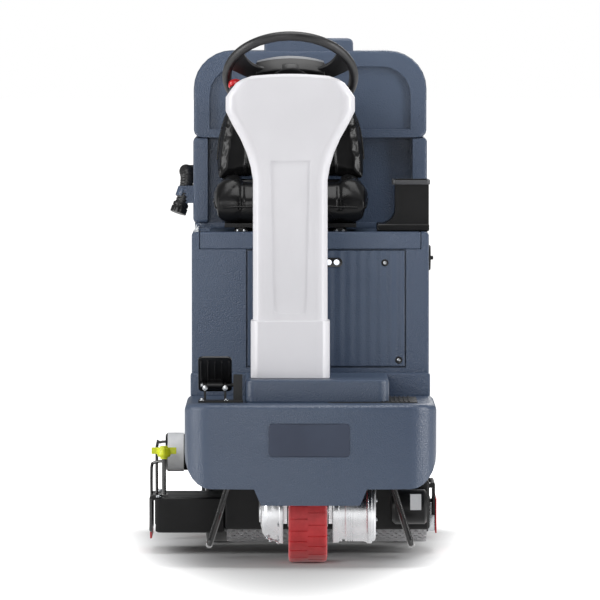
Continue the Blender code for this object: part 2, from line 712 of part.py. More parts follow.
def make_steering_line():
    """Column shaft, its small sprocket and the chain to the drive unit."""
    low = RAIL_TOP + 0.011
    axis = pivot("column_shaft_axis", (COLUMN_X, SHAFT_Y, low))
    top = SHAFT_TOP
    shaft = node("column_shaft", extruded(circle(COLUMN_X, SHAFT_Y, SHAFT_RADIUS, 16), "z",
                                          RAIL_BOTTOM + 0.004, top), ZINC,
                 (COLUMN_X, SHAFT_Y, low), axis)
    add(shaft, extruded(circle(COLUMN_X, SHAFT_Y, SPROCKET_SMALL, 12), "z", low, low + 0.006))
    big = Vector((TYRE_X, STEER_Y))
    small = Vector((COLUMN_X, SHAFT_Y))
    loops = []
    for extra in (CHAIN_PLAY, 0.006):
        r1 = SPROCKET_BIG + extra
        r2 = SPROCKET_SMALL + extra
        run = small - big
        a = atan2(run.y, run.x)
        b = asin((r1 - r2) / run.length)
        lead = pi / 2 - b
        loop = []
        for i in range(17):
            t = a + lead + (2 * pi - 2 * lead) * i / 16
            loop.append((big.x + r1 * cos(t), big.y + r1 * sin(t)))
        for i in range(9):
            t = a - lead + 2 * lead * i / 8
            loop.append((small.x + r2 * cos(t), small.y + r2 * sin(t)))
        loops.append(loop)
    chain = node("steering_chain", extruded(loops[1], "z", low, low + 0.006), STEEL)
    cut(chain, extruded(loops[0], "z", low - 0.01, low + 0.02))


# ------------------------------------------------------------- steering column
def column_half_width(z):
    """Half the column's width: straight post, then a flare to the head."""
    post = COLUMN_WIDTH / 2
    head = COLUMN_HEAD_WIDTH / 2
    start = COLUMN_TOP - 0.282
    end = COLUMN_TOP - 0.107
    if z <= start:
        return post
    t = min(1.0, (z - start) / (end - start))
    flare = post + (head - post) * (0.25 * t + 0.75 * t * t)
    taper = max(0.0, (z - COLUMN_TOP + 0.060) / 0.060)
    return flare - 0.036 * taper * taper


def column_section(z, front, back, inset, crown=0.0):
    """Ring of the column at a height, corners rounded towards the front."""
    half = column_half_width(z) - inset
    r = min(0.034, half * 0.5) - inset
    y0 = front + inset
    points = [(half, back)]
    points += arc(half - r, y0 + r, r, 0, -90, 5)
    points += arc(-half + r, y0 + r, r, -90, -180, 5)
    points.append((-half, back))
    ring = []
    for x, y in points:
        fall = crown * (x / half) ** 2
        ring.append(Vector((COLUMN_X + x, y, z - fall)))
    return ring


def column_heights(top):
    post_top = COLUMN_TOP - 0.282
    heights = [TUNNEL_TOP + GAP, COLUMN_STEP, post_top]
    count = 6
    for i in range(1, count + 1):
        heights.append(post_top + (COLUMN_TOP - 0.060 - post_top) * i / count)
    heights += [top - 0.030, top - 0.008, top]
    return heights


def make_column():
    """Two moulded half shells round the steel post."""
    split = COLUMN_FRONT + COLUMN_DEPTH * 0.75
    back = COLUMN_FRONT + COLUMN_DEPTH
    heights = column_heights(COLUMN_TOP)
    rings = []
    for z in heights:
        edge = 0.008 if z == heights[-1] else 0.0
        crown = 0.016 if z > COLUMN_TOP - 0.050 else 0.0
        rings.append(column_section(z, COLUMN_FRONT + edge, split, edge, crown))
    front = node("column_front_cover", lofted(rings), WHITE)
    inner = []
    for z in heights[:-2]:
        inner.append(column_section(z, COLUMN_FRONT, split + 0.01, COLUMN_WALL))
    inner[0] = [Vector((p.x, p.y, p.z - 0.02)) for p in inner[0]]
    cut(front, lofted(inner))
    foot = COLUMN_FOOT_WIDTH / 2
    plan = rounded(COLUMN_X - foot, COLUMN_X + foot, COLUMN_FRONT - 0.004, split + 0.05, 0.034, 4)
    collar = node("column_collar", extruded(plan, "z", TUNNEL_TOP + GAP, COLUMN_STEP), None)
    soften(collar, 0.003, 2, 60)
    combine(front, collar, "UNION")
    cut(front, block(-0.5, 0.5, split, split + 0.2, TUNNEL_TOP - 0.01, COLUMN_STEP + 0.01))
    hollow = rounded(COLUMN_X - foot + 0.011, COLUMN_X + foot - 0.011, COLUMN_FRONT + 0.005, split + 0.05,
                     0.028, 4)
    cut(front, extruded(hollow, "z", TUNNEL_TOP - 0.01, COLUMN_STEP + 0.02))
    # sunk field down the front
    low = COLUMN_STEP + 0.020
    high = COLUMN_TOP - 0.230
    outline = arc(COLUMN_X - 0.032, low + 0.014, 0.014, 180, 270, 3) + arc(COLUMN_X + 0.032, low + 0.014,
                                                                           0.014, 270, 360, 3)
    outline += [(COLUMN_X + 0.054, high), (COLUMN_X - 0.054, high)]
    cut(front, extruded(outline, "y", COLUMN_FRONT - 0.01, COLUMN_FRONT + 0.0022))

    # rear half: from the foot to the instrument head that faces the driver
    rings = []
    for z in heights:
        half = column_half_width(z) - (0.008 if z == heights[-1] else 0)
        swell = max(0.0, min(1.0, (z - COLUMN_TOP + 0.260) / 0.120))
        reach = back + HEAD_REACH * swell * swell * (3 - 2 * swell)
        limit = head_roof(z)
        reach = min(reach, limit)
        outline = [(half, split + GAP)]
        r = min(0.030, (reach - split) * 0.45)
        outline += arc(half - r, reach - r, r, 0, 90, 4)
        outline += arc(-half + r, reach - r, r, 90, 180, 4)
        outline.append((-half, split + GAP))
        crown = 0.016 if z > COLUMN_TOP - 0.050 else 0.0
        rings.append([Vector((COLUMN_X + x, y, z - crown * (x / half) ** 2)) for x, y in outline])
    rear = node("column_rear_cover", lofted(rings), GREY)
    w = COLUMN_WALL
    inner = []
    for ring, z in zip(rings[:-2], heights[:-2]):
        half = column_half_width(z)
        ys = max(p.y for p in ring)
        depth = ys - split
        squeeze = (depth - w) / depth
        inner.append([Vector((COLUMN_X + (p.x - COLUMN_X) * (half - w) / half,
                              split - 0.01 + (p.y - split) * squeeze, p.z))
                      for p in ring])
    inner[0] = [Vector((p.x, p.y, p.z - 0.02)) for p in inner[0]]
    cut(rear, lofted(inner))
    bore = extruded(circle(0, 0, HUB_SHAFT_RADIUS + GAP, 16), "z", -0.25, 0.02)
    cut(rear, moved(bore, wheel_lean()))

    # steel post that both covers screw to, with the upper bearing
    post_back = SHAFT_Y + SHAFT_RADIUS + 0.012
    x0 = COLUMN_X - 0.035
    x1 = COLUMN_X + 0.035
    post = node("column_post", block(x0, x1, post_back, post_back + 0.030, TUNNEL_TOP + GAP, POST_TOP),
                STEEL)
    add(post, block(x0, x1, SHAFT_Y - 0.022, post_back + 0.01, SHAFT_TOP - 0.035, SHAFT_TOP - 0.020))
    cut(post, extruded(circle(COLUMN_X, SHAFT_Y, SHAFT_RADIUS + GAP, 16), "z", SHAFT_TOP - 0.05, SHAFT_TOP))
    add(post, block(COLUMN_X - foot + 0.016, COLUMN_X + foot - 0.016, SHAFT_Y + 0.040, split - 0.004,
                    TUNNEL_TOP + GAP, TUNNEL_TOP + 0.006))
    return front, rear


def head_roof(z):
    """How far back the head may reach at a height and stay under the wheel."""
    plane = WHEEL_CENTRE_Y - (z - WHEEL_CENTRE_Z + HEAD_CLEAR) / tan(WHEEL_TILT)
    return max(plane, COLUMN_FRONT + COLUMN_DEPTH * 0.75 + 0.030)


# ------------------------------------------------------------- wheel and controls
def make_steering_wheel():
    lean = wheel_lean()
    axis = pivot("steering_wheel_axis", WHEEL_CENTRE)
    section = circle(WHEEL_RADIUS, 0, WHEEL_TUBE, 8)
    rim = node("steering_wheel", moved(turned(section, (0, 0, 0), "z", 36), lean), BLACK, WHEEL_CENTRE,
               axis)
    hub = HUB_WIDTH / 2
    for side in (-1, 1):
        inner = [(side * (hub - 0.020), 0.022), (side * (hub - 0.020), -0.030)]
        outer = []
        for a in (-36, -27, -18):
            r = WHEEL_RADIUS
            outer.append((side * r * cos(radians(a)), r * sin(radians(a))))
        spoke = extruded(inner + outer, "z", -0.006, 0.006)
        add(rim, moved(spoke, lean))
    add(rim, moved(extruded(circle(0, 0, 0.050, 20), "z", -0.014, 0.006), lean))
    add(rim, moved(block(-hub + 0.015, hub - 0.015, -0.034, 0.030, -0.006, 0.006), lean))
    pod = extruded(rounded(-hub, hub, -0.042, 0.046, 0.022, 4), "z", 0.006 + GAP, 0.030)
    pod = node("wheel_hub_cover", moved(pod, lean), BLACK, WHEEL_CENTRE, axis)
    soften(pod, 0.005, 2, 50)
    button_y = 0.030
    cut(pod, moved(extruded(circle(0.055, button_y - 0.014, 0.0105, 16), "z", 0.016, 0.040), lean))
    cut(pod, moved(block(-0.045, 0.035, -0.022, 0.028, 0.0285, 0.040), lean))
    push = extruded(circle(0.055, button_y - 0.014, 0.010, 16), "z", 0.0205, 0.0335)
    node("one_touch_button", moved(push, lean), GREY, WHEEL_CENTRE, axis)
    add(rim, moved(extruded(circle(0, 0, HUB_SHAFT_RADIUS, 16), "z", -0.150, -0.012), lean))


def make_controls(front, rear):
    """Emergency stop and key switch on bosses of the head's rear cover."""
    turn = Matrix.Rotation(-WHEEL_TILT, 4, "X")
    for name, x, r in (("estop", ESTOP_X, 0.019), ("key", KEY_X, 0.012)):
        at = Matrix.Translation((x, ESTOP_Y, ESTOP_Z)) @ turn
        add(rear, moved(extruded(circle(0, 0, r, 20), "z", -0.032, 0), at))
        bore = 0.008 if name == "estop" else 0.006
        cut(rear, moved(extruded(circle(0, 0, bore + GAP, 16), "z", -0.020, 0.01), at))
        if name == "estop":
            cap = [(0, -0.012), (0.008, -0.012), (0.008, 0.006), (0.014, 0.007), (0.0175, 0.012),
                   (0.0165, 0.019), (0.010, 0.023), (0, 0.024)]
            node("emergency_stop", moved(turned(cap, (0, 0, 0), "z", 20), at), RED, (x, ESTOP_Y, ESTOP_Z))
        else:
            key = node("key_switch", moved(extruded(circle(0, 0, 0.006, 16), "z", -0.016, 0.009), at),
                       ZINC, (x, ESTOP_Y, ESTOP_Z))
            add(key, moved(block(-0.011, 0.011, -0.0015, 0.0015, 0.007, 0.026), at))


def make_pedal():
    """Accelerator: bracket with two ears on the deck, and the pedal."""
    floor = DECK_FLOOR + GAP
    half = PEDAL_WIDTH / 2
    pin = 0.005
    ear = half - 0.018
    base = node("pedal_bracket", block(PEDAL_X - half, PEDAL_X + half + 0.030, PEDAL_Y - 0.045,
                                       PEDAL_Y + 0.035, floor, floor + 0.006), BLACK)
    for side in (-1, 1):
        x = PEDAL_X + side * ear
        add(base, block(x - 0.003, x + 0.003, PEDAL_Y - 0.009, PEDAL_Y + 0.009, floor + 0.003, PEDAL_Z))
        add(base, bar(x - 0.003, x + 0.003, PEDAL_Y, PEDAL_Z, 0.0092, 12))
    sensor = PEDAL_X + half
    add(base, block(sensor + 0.004, sensor + 0.028, PEDAL_Y - 0.022, PEDAL_Y + 0.022, floor + 0.003,
                    floor + 0.074))
    add(base, bar(PEDAL_X - ear - 0.006, sensor + 0.010, PEDAL_Y, PEDAL_Z, pin, 12))
    # plate that the foot presses, with ribs underneath
    tilt = about((PEDAL_X, PEDAL_Y, PEDAL_Z), "X", -48)
    low = PEDAL_Z + 0.010
    y0 = PEDAL_Y - 0.092
    y1 = PEDAL_Y + 0.034
    axis = pivot("accelerator_axis", (PEDAL_X, PEDAL_Y, PEDAL_Z))
    origin = (PEDAL_X, PEDAL_Y, PEDAL_Z)
    plate = extruded(rounded(PEDAL_X - half, PEDAL_X + half, y0, y1, 0.012, 3), "z", low, low + 0.006)
    pedal = node("accelerator_pedal", moved(plate, tilt), BLACK, origin, axis)
    for i in range(5):
        x = PEDAL_X - half + 0.008 + (PEDAL_WIDTH - 0.016) * i / 4
        if abs(abs(x - PEDAL_X) - ear) < 0.008:
            x += 0.010 if x < PEDAL_X else -0.010
        add(pedal, moved(block(x - 0.0015, x + 0.0015, y0 + 0.010, PEDAL_Y - 0.012, low - 0.008,
                               low + 0.002), tilt))
    add(pedal, bar(PEDAL_X - ear + 0.006, PEDAL_X + ear - 0.006, PEDAL_Y, PEDAL_Z, 0.0115, 12))
    add(pedal, moved(block(PEDAL_X - ear + 0.008, PEDAL_X + ear - 0.008, PEDAL_Y - 0.010, PEDAL_Y + 0.010,
                           PEDAL_Z, low + 0.002), tilt))
    cut(pedal, bar(PEDAL_X - half - 0.01, PEDAL_X + half + 0.01, PEDAL_Y, PEDAL_Z, pin + GAP, 12))


# ------------------------------------------------------------- solution tank
def make_solution_tank():
    """Moulded tank that forms the machine's lower body, with the battery
    compartment under the seat and arches over the rear wheels."""
    half = BOX_WIDTH / 2
    plan = [(half, BOX_FRONT)] + arc(half - 0.05, TANK_BACK - 0.05, 0.05, 0, 90, 4)
    plan += arc(-half + 0.05, TANK_BACK - 0.05, 0.05, 90, 180, 4) + [(-half, BOX_FRONT)]
    body = node("solution_tank", extruded(plan, "z", TANK_BOTTOM, BOX_TOP), BLUE)
    soften(body, 0.008, 2, 50)
    lid = LID_HALF + GAP * 4
    ledge = BOX_TOP - SEAT_LID_LIP - GAP
    cut(body, block(-lid, lid, BOX_FRONT - 0.05, BOX_BACK, ledge, BOX_TOP + 0.01))
    inner = half - COMPARTMENT_WALL
    bay_floor = BOX_TOP - COMPARTMENT_DEPTH
    cut(body, block(-inner, inner, BOX_FRONT + BAY_FRONT_WALL, BOX_BACK - COMPARTMENT_WALL, bay_floor,
                    BOX_TOP + 0.02))
    # recess for the service panel
    cut(body, block(PANEL_LEFT - SEAM, PANEL_RIGHT + SEAM, BOX_FRONT - 0.02, BOX_FRONT + PANEL_THICK,
                    PANEL_BOTTOM - SEAM, ledge + 0.01))
    # flanks that come down beside the rear wheels, with arches cut in them
    for side in (-1, 1):
        xs = sorted((side * (half - 0.002), side * (half - 0.002 - SKIRT_THICK)))
        add(body, block(xs[0], xs[1], BOX_BACK + 0.022, TANK_BACK - 0.055, SKIRT_LOW, TANK_BOTTOM + 0.020))
    arch = REAR_RADIUS + 0.022
    track = REAR_TRACK / 2
    for side in (-1, 1):
        x0 = side * (track - REAR_WIDTH / 2 - 0.020)
        x1 = side * (half + 0.02)
        profile = [(REAR_Y + u, REAR_RADIUS + v) for u, v in arc(0, 0, arch + ARCH_RISE, 0, 180, 10)]
        cut(body, extruded(profile, "x", x0, x1) if side > 0 else extruded(profile, "x", x1, x0))
    # filler neck in the left flank
    cut(body, bar(half - 0.060, half + 0.01, FILL_Y, FILL_Z, FILL_RADIUS - 0.006, 40))
    # seats for the quarter-turn fasteners
    for x, z in FASTENERS:
        cut(body, rod((x, BOX_FRONT, z), (x, BOX_FRONT + 0.024, z), 0.0050, 12))
    return body


def make_service_panel():
    """Lift-off panel in the compartment's front wall."""
    top = BOX_TOP - SEAT_LID_LIP - SEAM
    face = BOX_FRONT
    panel = node("service_panel", block(PANEL_LEFT, PANEL_RIGHT, face, face + PANEL_THICK - GAP,
                                        PANEL_BOTTOM, top), BLUE)
    soften(panel, 0.0025, 2)
    bezel = rounded(LAMP_X - 0.022, LAMP_X + 0.032, LAMP_Z - 0.013, LAMP_Z + 0.013, 0.0125, 4)
    add(panel, extruded(bezel, "y", face - 0.002, face + 0.005))
    lens = rounded(LAMP_X - 0.018, LAMP_X + 0.028, LAMP_Z - 0.009, LAMP_Z + 0.009, 0.0088, 4)
    cut(panel, extruded(lens, "y", face - 0.01, face + 0.004))
    for x, z in FASTENERS:
        cut(panel, rod((x, face - 0.01, z), (x, face + 0.0045, z), FASTENER_RADIUS + GAP * 2, 16))
        cut(panel, rod((x, face - 0.01, z), (x, face + 0.03, z), 0.0045, 12))
    lens = rounded(LAMP_X - 0.018 + GAP, LAMP_X + 0.028 - GAP, LAMP_Z - 0.009 + GAP, LAMP_Z + 0.009 - GAP,
                   0.0085, 4)
    node("lamp_lens", extruded(lens, "y", face - 0.001, face + 0.004 - GAP), LENS)
    for i, (x, z) in enumerate(FASTENERS):
        head = [(0, -0.001), (FASTENER_RADIUS - 0.002, -0.001), (FASTENER_RADIUS, 0.001),
                (FASTENER_RADIUS, 0.004),
                (0.0040, 0.004), (0.0040, 0.020), (0, 0.020)]
        piece = node(f"panel_fastener_{i + 1}", turned(head, (x, face, z), "y", 16), BLACK, (x, face, z))
        cut(piece, block(x - 0.006, x + 0.006, face - 0.01, face + 0.001, z - 0.0010, z + 0.0010))


def make_battery():
    """Traction battery in the compartment, with its terminal posts."""
    inner = BOX_WIDTH / 2 - COMPARTMENT_WALL - 0.004
    y0 = BOX_FRONT + BAY_FRONT_WALL + 0.004
    y1 = BOX_BACK - COMPARTMENT_WALL - 0.004
    floor = BOX_TOP - COMPARTMENT_DEPTH + GAP
    top = floor + BATTERY_HEIGHT
    cells = node("battery_pack", block(-inner, inner, y0, y1, floor, top), GREY)
    for x in (-inner / 2, inner / 2):
        for y in (y0 + 0.040, y1 - 0.040):
            add(cells, extruded(circle(x, y, 0.009, 8), "z", top - 0.005, top + 0.015))
    # grooves between the four cells
    cut(cells, block(-0.002, 0.002, y0 - 0.01, y1 + 0.01, top - 0.020, top + 0.01))
    cut(cells, block(-inner - 0.01, inner + 0.01, (y0 + y1) / 2 - 0.002, (y0 + y1) / 2 + 0.002,
                     top - 0.020, top + 0.01))


def make_seat_lid():
    """Lid over the batteries, hinged on the right-hand shoulder."""
    axis = pivot("seat_lid_axis", LID_HINGE)
    low = BOX_TOP - SEAT_LID_LIP
    back = BOX_BACK - GAP * 4
    lid = node("seat_lid", block(-LID_HALF, LID_HALF, BOX_FRONT, back, low, BOX_TOP), BLUE, LID_HINGE, axis)
    soften(lid, 0.004, 2)
    w = 0.010
    cut(lid, block(-LID_HALF + w, LID_HALF - w, BOX_FRONT + w, back - w, low - 0.01, BOX_TOP - w))
    hinge_x = LID_HINGE[0]
    hinge_z = LID_HINGE[2]
    for y in (BOX_FRONT + 0.080, BOX_BACK - 0.080):
        add(lid, block(hinge_x, hinge_x + 0.034, y - 0.014, y + 0.014, BOX_TOP + GAP * 2, hinge_z))
        add(lid, block(-LID_HALF + 0.004, hinge_x + 0.033, y - 0.013, y + 0.013, BOX_TOP - 0.003,
                       BOX_TOP + 0.006))
        add(lid, rod((hinge_x, y - 0.014, hinge_z), (hinge_x, y + 0.014, hinge_z), 0.0055, 12))
        cut(lid, rod((hinge_x, y - 0.03, hinge_z), (hinge_x, y + 0.03, hinge_z), 0.0025 + GAP, 10))
    # the pin and its two leaves stand on the tank's shoulder
    y0 = BOX_FRONT + 0.040
    y1 = BOX_BACK - 0.040
    pin = node("seat_lid_hinge", rod((hinge_x, y0, hinge_z), (hinge_x, y1, hinge_z), 0.0025, 10), ZINC)
    for y in (y0 + 0.003, (y0 + y1) / 2, y1 - 0.003):
        add(pin, block(hinge_x - 0.008, hinge_x + 0.003, y - 0.008, y + 0.008, BOX_TOP + GAP,
                       hinge_z + 0.004))


# ------------------------------------------------------------- seat
def make_seat():
    """Seat on slide rails that are bolted to the lid."""
    lid_axis = bpy.data.objects["seat_lid_axis"]
    x = COLUMN_X
    front = SEAT_FRONT
    back = SEAT_FRONT + SEAT_DEPTH
    rail_z = BOX_TOP + GAP
    rails = node("seat_rails", block(x - RAIL_SPREAD / 2, x + RAIL_SPREAD / 2, back - 0.090, back - 0.070,
                                     rail_z, rail_z + 0.004),
                 STEEL, LID_HINGE, lid_axis)
    for side in (-1, 1):
        cx = x + side * RAIL_SPREAD / 2
        add(rails, block(cx - 0.018, cx + 0.018, front + 0.020, back - 0.030, rail_z, rail_z + 0.005))
        add(rails, block(cx - 0.009, cx + 0.009, front + 0.020, back - 0.030, rail_z + 0.004,
                         rail_z + 0.010))
    slide = pivot("seat_slide_axis", (x, front, SEAT_BASE), lid_axis)
    origin = (x, front, SEAT_BASE)
    pan_low = rail_z + 0.010 + GAP
    half = SEAT_WIDTH / 2
    reach = max(half - 0.040, RAIL_SPREAD / 2 + 0.018)
    pan = node("seat_pan", block(x - reach, x + reach, front + 0.050, back - 0.030, pan_low,
                                 SEAT_BASE - GAP), STEEL, origin, slide)
    for side in (-1, 1):
        cx = x + side * RAIL_SPREAD / 2
        for edge in (-1, 1):
            e = cx + edge * 0.0115
            add(pan, block(e - 0.0018, e + 0.0018, front + 0.060, back - 0.040, rail_z + 0.006,
                           pan_low + 0.002))
    # bracket that carries the backrest
    add(pan, block(x - 0.060, x + 0.060, back - 0.034, back - 0.024, pan_low, SEAT_BASE + 0.150))
    cushion_top = SEAT_BASE + CUSHION_THICK
    profile = [(front + 0.030, SEAT_BASE), (back - 0.040, SEAT_BASE), (back - 0.040, cushion_top - 0.022)]
    profile += arc(front + 0.050, cushion_top - 0.050, 0.050, 90, 180, 5)
    profile += arc(front + 0.030, SEAT_BASE + 0.030, 0.030, 180, 250, 3)
    cushion = node("seat_cushion", extruded(profile, "x", x - half, x + half), VINYL, origin, slide)
    soften(cushion, 0.030, 3, 60)
    lean = tan(BACKREST_LEAN)
    rings = []
    low = SEAT_BASE + CUSHION_THICK + GAP * 3
    for i in range(9):
        t = i / 8
        z = low + (BACKREST_TOP - low) * t
        wide = half - 0.012 - 0.030 * t - 0.055 * max(0.0, t - 0.75) ** 2 * 16
        y = back - 0.090 + (z - low) * lean
        thick = BACKREST_THICK - 0.012 * t
        outline = rounded(x - wide, x + wide, y, y + thick, thick * 0.42, 3)
        rings.append([Vector((u, v, z)) for u, v in outline])
    back_pad = node("seat_backrest", lofted(rings), VINYL, origin, slide)
    cut(back_pad, block(x - 0.062, x + 0.062, back - 0.034 - GAP, back + 0.1, low - 0.01,
                        SEAT_BASE + 0.150 + GAP))


def make_storage_box():
    """Open moulded bin on the lid, at the driver's left."""
    lid_axis = bpy.data.objects["seat_lid_axis"]
    low = BOX_TOP + GAP
    y0 = SEAT_FRONT + 0.045
    y1 = y0 + BIN_DEPTH
    x1 = BIN_RIGHT
    x0 = BIN_RIGHT - BIN_WIDTH
    top = low + BIN_HEIGHT
    foot = node("storage_bin", block(x0 - 0.050, x1, y0, y1, low, low + 0.020), BLACK, LID_HINGE, lid_axis)
    soften(foot, 0.003, 1)
    profile = [(x0 - 0.040, low + 0.012), (x1 - 0.001, low + 0.012), (x1 - 0.001, top), (x0, top),
               (x0, low + 0.060)]
    profile += arc(x0 - 0.040, low + 0.060, 0.040, 0, -90, 5)[1:-1]
    add(foot, extruded(profile, "y", y0 + 0.004, y1 - 0.004))
    w = 0.004
    cut(foot, block(x0 + w, x1 - 0.001 - w, y0 + 0.004 + w, y1 - 0.004 - w, low + 0.024, top + 0.01))
    cut(foot, block(x0 + 0.012, x1 - 0.012, y0 - 0.01, y0 + 0.03, top - 0.012, top + 0.01))


# ------------------------------------------------------------- recovery tank
def make_recovery_tank():
    half = TANK_WIDTH / 2
    body = node("recovery_tank", block(-half, half, TANK_FRONT, TANK_BACK, TANK_BASE, TANK_TOP), BLUE)
    soften(body, 0.010, 2)
    face = half - PILLAR_WIDTH
    cut(body, block(-face, face, TANK_FRONT - 0.01, TANK_FRONT + PILLAR_DEPTH, TANK_BASE - 0.01,
                    TANK_TOP + 0.01))
    w = 0.012
    cut(body, block(-half + w, half - w, TANK_FRONT + PILLAR_DEPTH + w, TANK_BACK - w, TANK_BASE + w,
                    TANK_TOP + 0.01))
    # feet that stand on the solution tank, moulded with the body
    for x in (-half + 0.060, half - 0.060):
        add(body, block(x - 0.030, x + 0.030, TANK_FRONT + 0.060, TANK_BACK - 0.060, BOX_TOP + GAP,
                        TANK_BASE + 0.004))
    # socket that the vacuum hose ends in, low on the back
    cut(body, rod((0, TANK_BACK - 0.03, HOSE_TOP_Z), (0, TANK_BACK + 0.01, HOSE_TOP_Z),
                  HOSE_RADIUS + HOSE_PLAY, 16))
    for x in (-face + 0.010, face - 0.010):
        cut(body, rod((x, TANK_FRONT + PILLAR_DEPTH - 0.01, TANK_TOP - 0.040),
                      (x, TANK_FRONT + PILLAR_DEPTH + 0.006, TANK_TOP - 0.040), 0.003, 8))
    # clip on the right flank that the drain hose is parked in
    route = drain_route()
    z = route[-5].z
    add(body, block(-half - 0.036, -half + 0.004, DRAIN_Y - 0.012, DRAIN_Y + 0.040, z - 0.036, z + 0.012))
    cut(body, swept(route, DRAIN_RADIUS + GAP, 12))
    for x in (-0.180, 0.180):
        add(body, block(x - 0.012, x + 0.012, TANK_BACK - 0.006, TANK_BACK + 0.018, TANK_TOP - 0.034,
                        TANK_TOP - 0.004))
        cut(body, bar(x - 0.02, x + 0.02, LID_HINGE_Y, LID_HINGE_Z, 0.004 + GAP, 12))
    return body


def make_tank_lid():
    """Domed lid with a raised block; hinged along its rear edge."""
    axis = pivot("tank_lid_axis", (0, LID_HINGE_Y, LID_HINGE_Z))
    origin = (0, LID_HINGE_Y, LID_HINGE_Z)
    half = LID_WIDTH / 2
    low = TANK_TOP + GAP
    r = LID_SHOULDER
    face = arc(half - 0.020, low + 0.020, 0.020, -90, 0, 3) + arc(half - r, LID_TOP - r, r, 0, 90, 7)
    face += arc(-half + r, LID_TOP - r, r, 90, 180, 7) + arc(-half + 0.020, low + 0.020, 0.020, 180, 270, 3)
    rings = []
    middle = (low + LID_TOP) / 2
    steps = ((0.010, TANK_FRONT), (0.003, TANK_FRONT + 0.003), (0.0, TANK_FRONT + 0.010),
             (0.0, TANK_BACK - 0.060),
             (0.010, TANK_BACK - 0.028), (0.034, TANK_BACK - 0.008), (0.060, TANK_BACK))
    for inset, y in steps:
        ring = []
        for x, z in face:
            k = 1 - inset / half
            down = inset * max(0.0, (z - low) / (LID_TOP - low))
            ring.append(Vector((x * k, y, z - down)))
        rings.append(ring)
    lid = node("tank_lid", lofted(rings), BLUE, origin, axis)
    block_half = LID_BLOCK_WIDTH / 2
    top = LID_TOP + LID_BLOCK_RISE
    outline = [(LID_BLOCK_X + block_half, LID_TOP - 0.05)]
    outline += arc(LID_BLOCK_X + block_half - 0.014, top - 0.014, 0.014, 0, 90, 3)
    outline += arc(LID_BLOCK_X - block_half + 0.014, top - 0.014, 0.014, 90, 180, 3)
    outline.append((LID_BLOCK_X - block_half, LID_TOP - 0.05))
    crown = node("lid_crown", extruded(outline, "y", TANK_FRONT + 0.006, TANK_BACK - 0.100), None)
    soften(crown, 0.006, 1, 60)
    combine(lid, crown, "UNION")
    # hollow inside, and the sunk field of the front face
    w = 0.010
    ri = r - w
    inside = [(half - w, low - 0.02)] + arc(half - r, LID_TOP - r, ri, 0, 90, 5)
    inside += arc(-half + r, LID_TOP - r, ri, 90, 180, 5) + [(-half + w, low - 0.02)]
    cut(lid, extruded([(x * 0.985, z) for x, z in inside], "y", TANK_FRONT + LID_RECESS + w,
                      TANK_BACK - 0.070))
    f = LID_FRAME
    rf = r - f * 0.6
    field = [(half - f, low + f * 0.5)] + arc(half - f - rf, LID_TOP - f - rf, rf, 0, 90, 5)
    field += arc(-half + f + rf, LID_TOP - f - rf, rf, 90, 180, 5) + [(-half + f, low + f * 0.5)]
    cut(lid, extruded(field, "y", TANK_FRONT - 0.02, TANK_FRONT + LID_RECESS))
    # lugs either side of the tank's hinge ears, with the pin through them
    for x in (-0.180, 0.180):
        for side in (-1, 1):
            lug = x + side * 0.020
            add(lid, block(lug - 0.006, lug + 0.006, TANK_BACK - 0.050, TANK_BACK + 0.016, low,
                           low + 0.030))
            add(lid, block(lug - 0.006, lug + 0.006, LID_HINGE_Y - 0.0075, LID_HINGE_Y + 0.0075,
                           LID_HINGE_Z, low + 0.010))
            add(lid, bar(lug - 0.006, lug + 0.006, LID_HINGE_Y, LID_HINGE_Z, 0.0075, 12))
        add(lid, bar(x - 0.024, x + 0.024, LID_HINGE_Y, LID_HINGE_Z, 0.004, 12))
    return lid


def make_vacuum_motor():
    """Suction motor hung inside the lid."""
    axis = bpy.data.objects["tank_lid_axis"]
    x = LID_BLOCK_X
    y = (TANK_FRONT + TANK_BACK) / 2 + 0.040
    top = LID_TOP - 0.010 - GAP * 2
    profile = [(0, top - 0.130), (0.030, top - 0.130), (0.038, top - 0.122), (0.038, top - 0.070),
               (0.068, top - 0.066),
               (0.068, top - 0.020), (0.050, top - 0.014), (0.050, top), (0, top)]
    node("vacuum_motor", turned(profile, (x, y, 0), "z", 20), GREY, (0, LID_HINGE_Y, LID_HINGE_Z), axis)


def make_fill_cap():
    """Water filler cap in the solution tank's left flank."""
    face = BOX_WIDTH / 2
    neck = FILL_RADIUS - 0.006 - GAP
    profile = [(0, face - 0.022), (neck, face - 0.022), (neck, face + GAP), (FILL_RADIUS, face + GAP),
               (FILL_RADIUS, face + 0.010),
               (FILL_RADIUS - 0.003, face + 0.013), (0, face + 0.013)]
    at = (face, FILL_Y, FILL_Z)
    cap = node("fill_cap", turned(profile, (0, FILL_Y, FILL_Z), "x", 20), BLACK, at)
    add(cap, block(face + 0.010, face + 0.020, FILL_Y - 0.026, FILL_Y + 0.026, FILL_Z - 0.005,
                   FILL_Z + 0.005))
    return cap


def drain_route():
    """Middle line of the drain hose along the tank's right flank."""
    x = -TANK_WIDTH / 2 - GAP
    r = DRAIN_RADIUS
    z = TANK_BASE + 0.135
    return smooth_path([(x, TANK_BACK - 0.070, z), (x - r - 0.006, TANK_BACK - 0.085, z),
                        (x - r - 0.010, TANK_BACK - 0.150, z), (x - r - 0.008, DRAIN_Y + 0.060, z + 0.004),
                        (x - r - 0.005, DRAIN_Y + 0.022, z - 0.018), (x - r - 0.013, DRAIN_Y + 0.006,
                                                                      z - 0.060),
                        (x - r - 0.026, DRAIN_Y, z - 0.098)], 3)


def make_drain_hose():
    """Drain hose with its screw cap, parked in the tank's clip."""
    route = drain_route()
    hose = node("drain_hose", swept(route, DRAIN_RADIUS, 12), BLACK)
    along = (route[-1] - route[-2]).normalized()
    add(hose, rod(route[-1] - along * 0.004, route[-1] + along * 0.014, DRAIN_RADIUS + 0.004, 16))


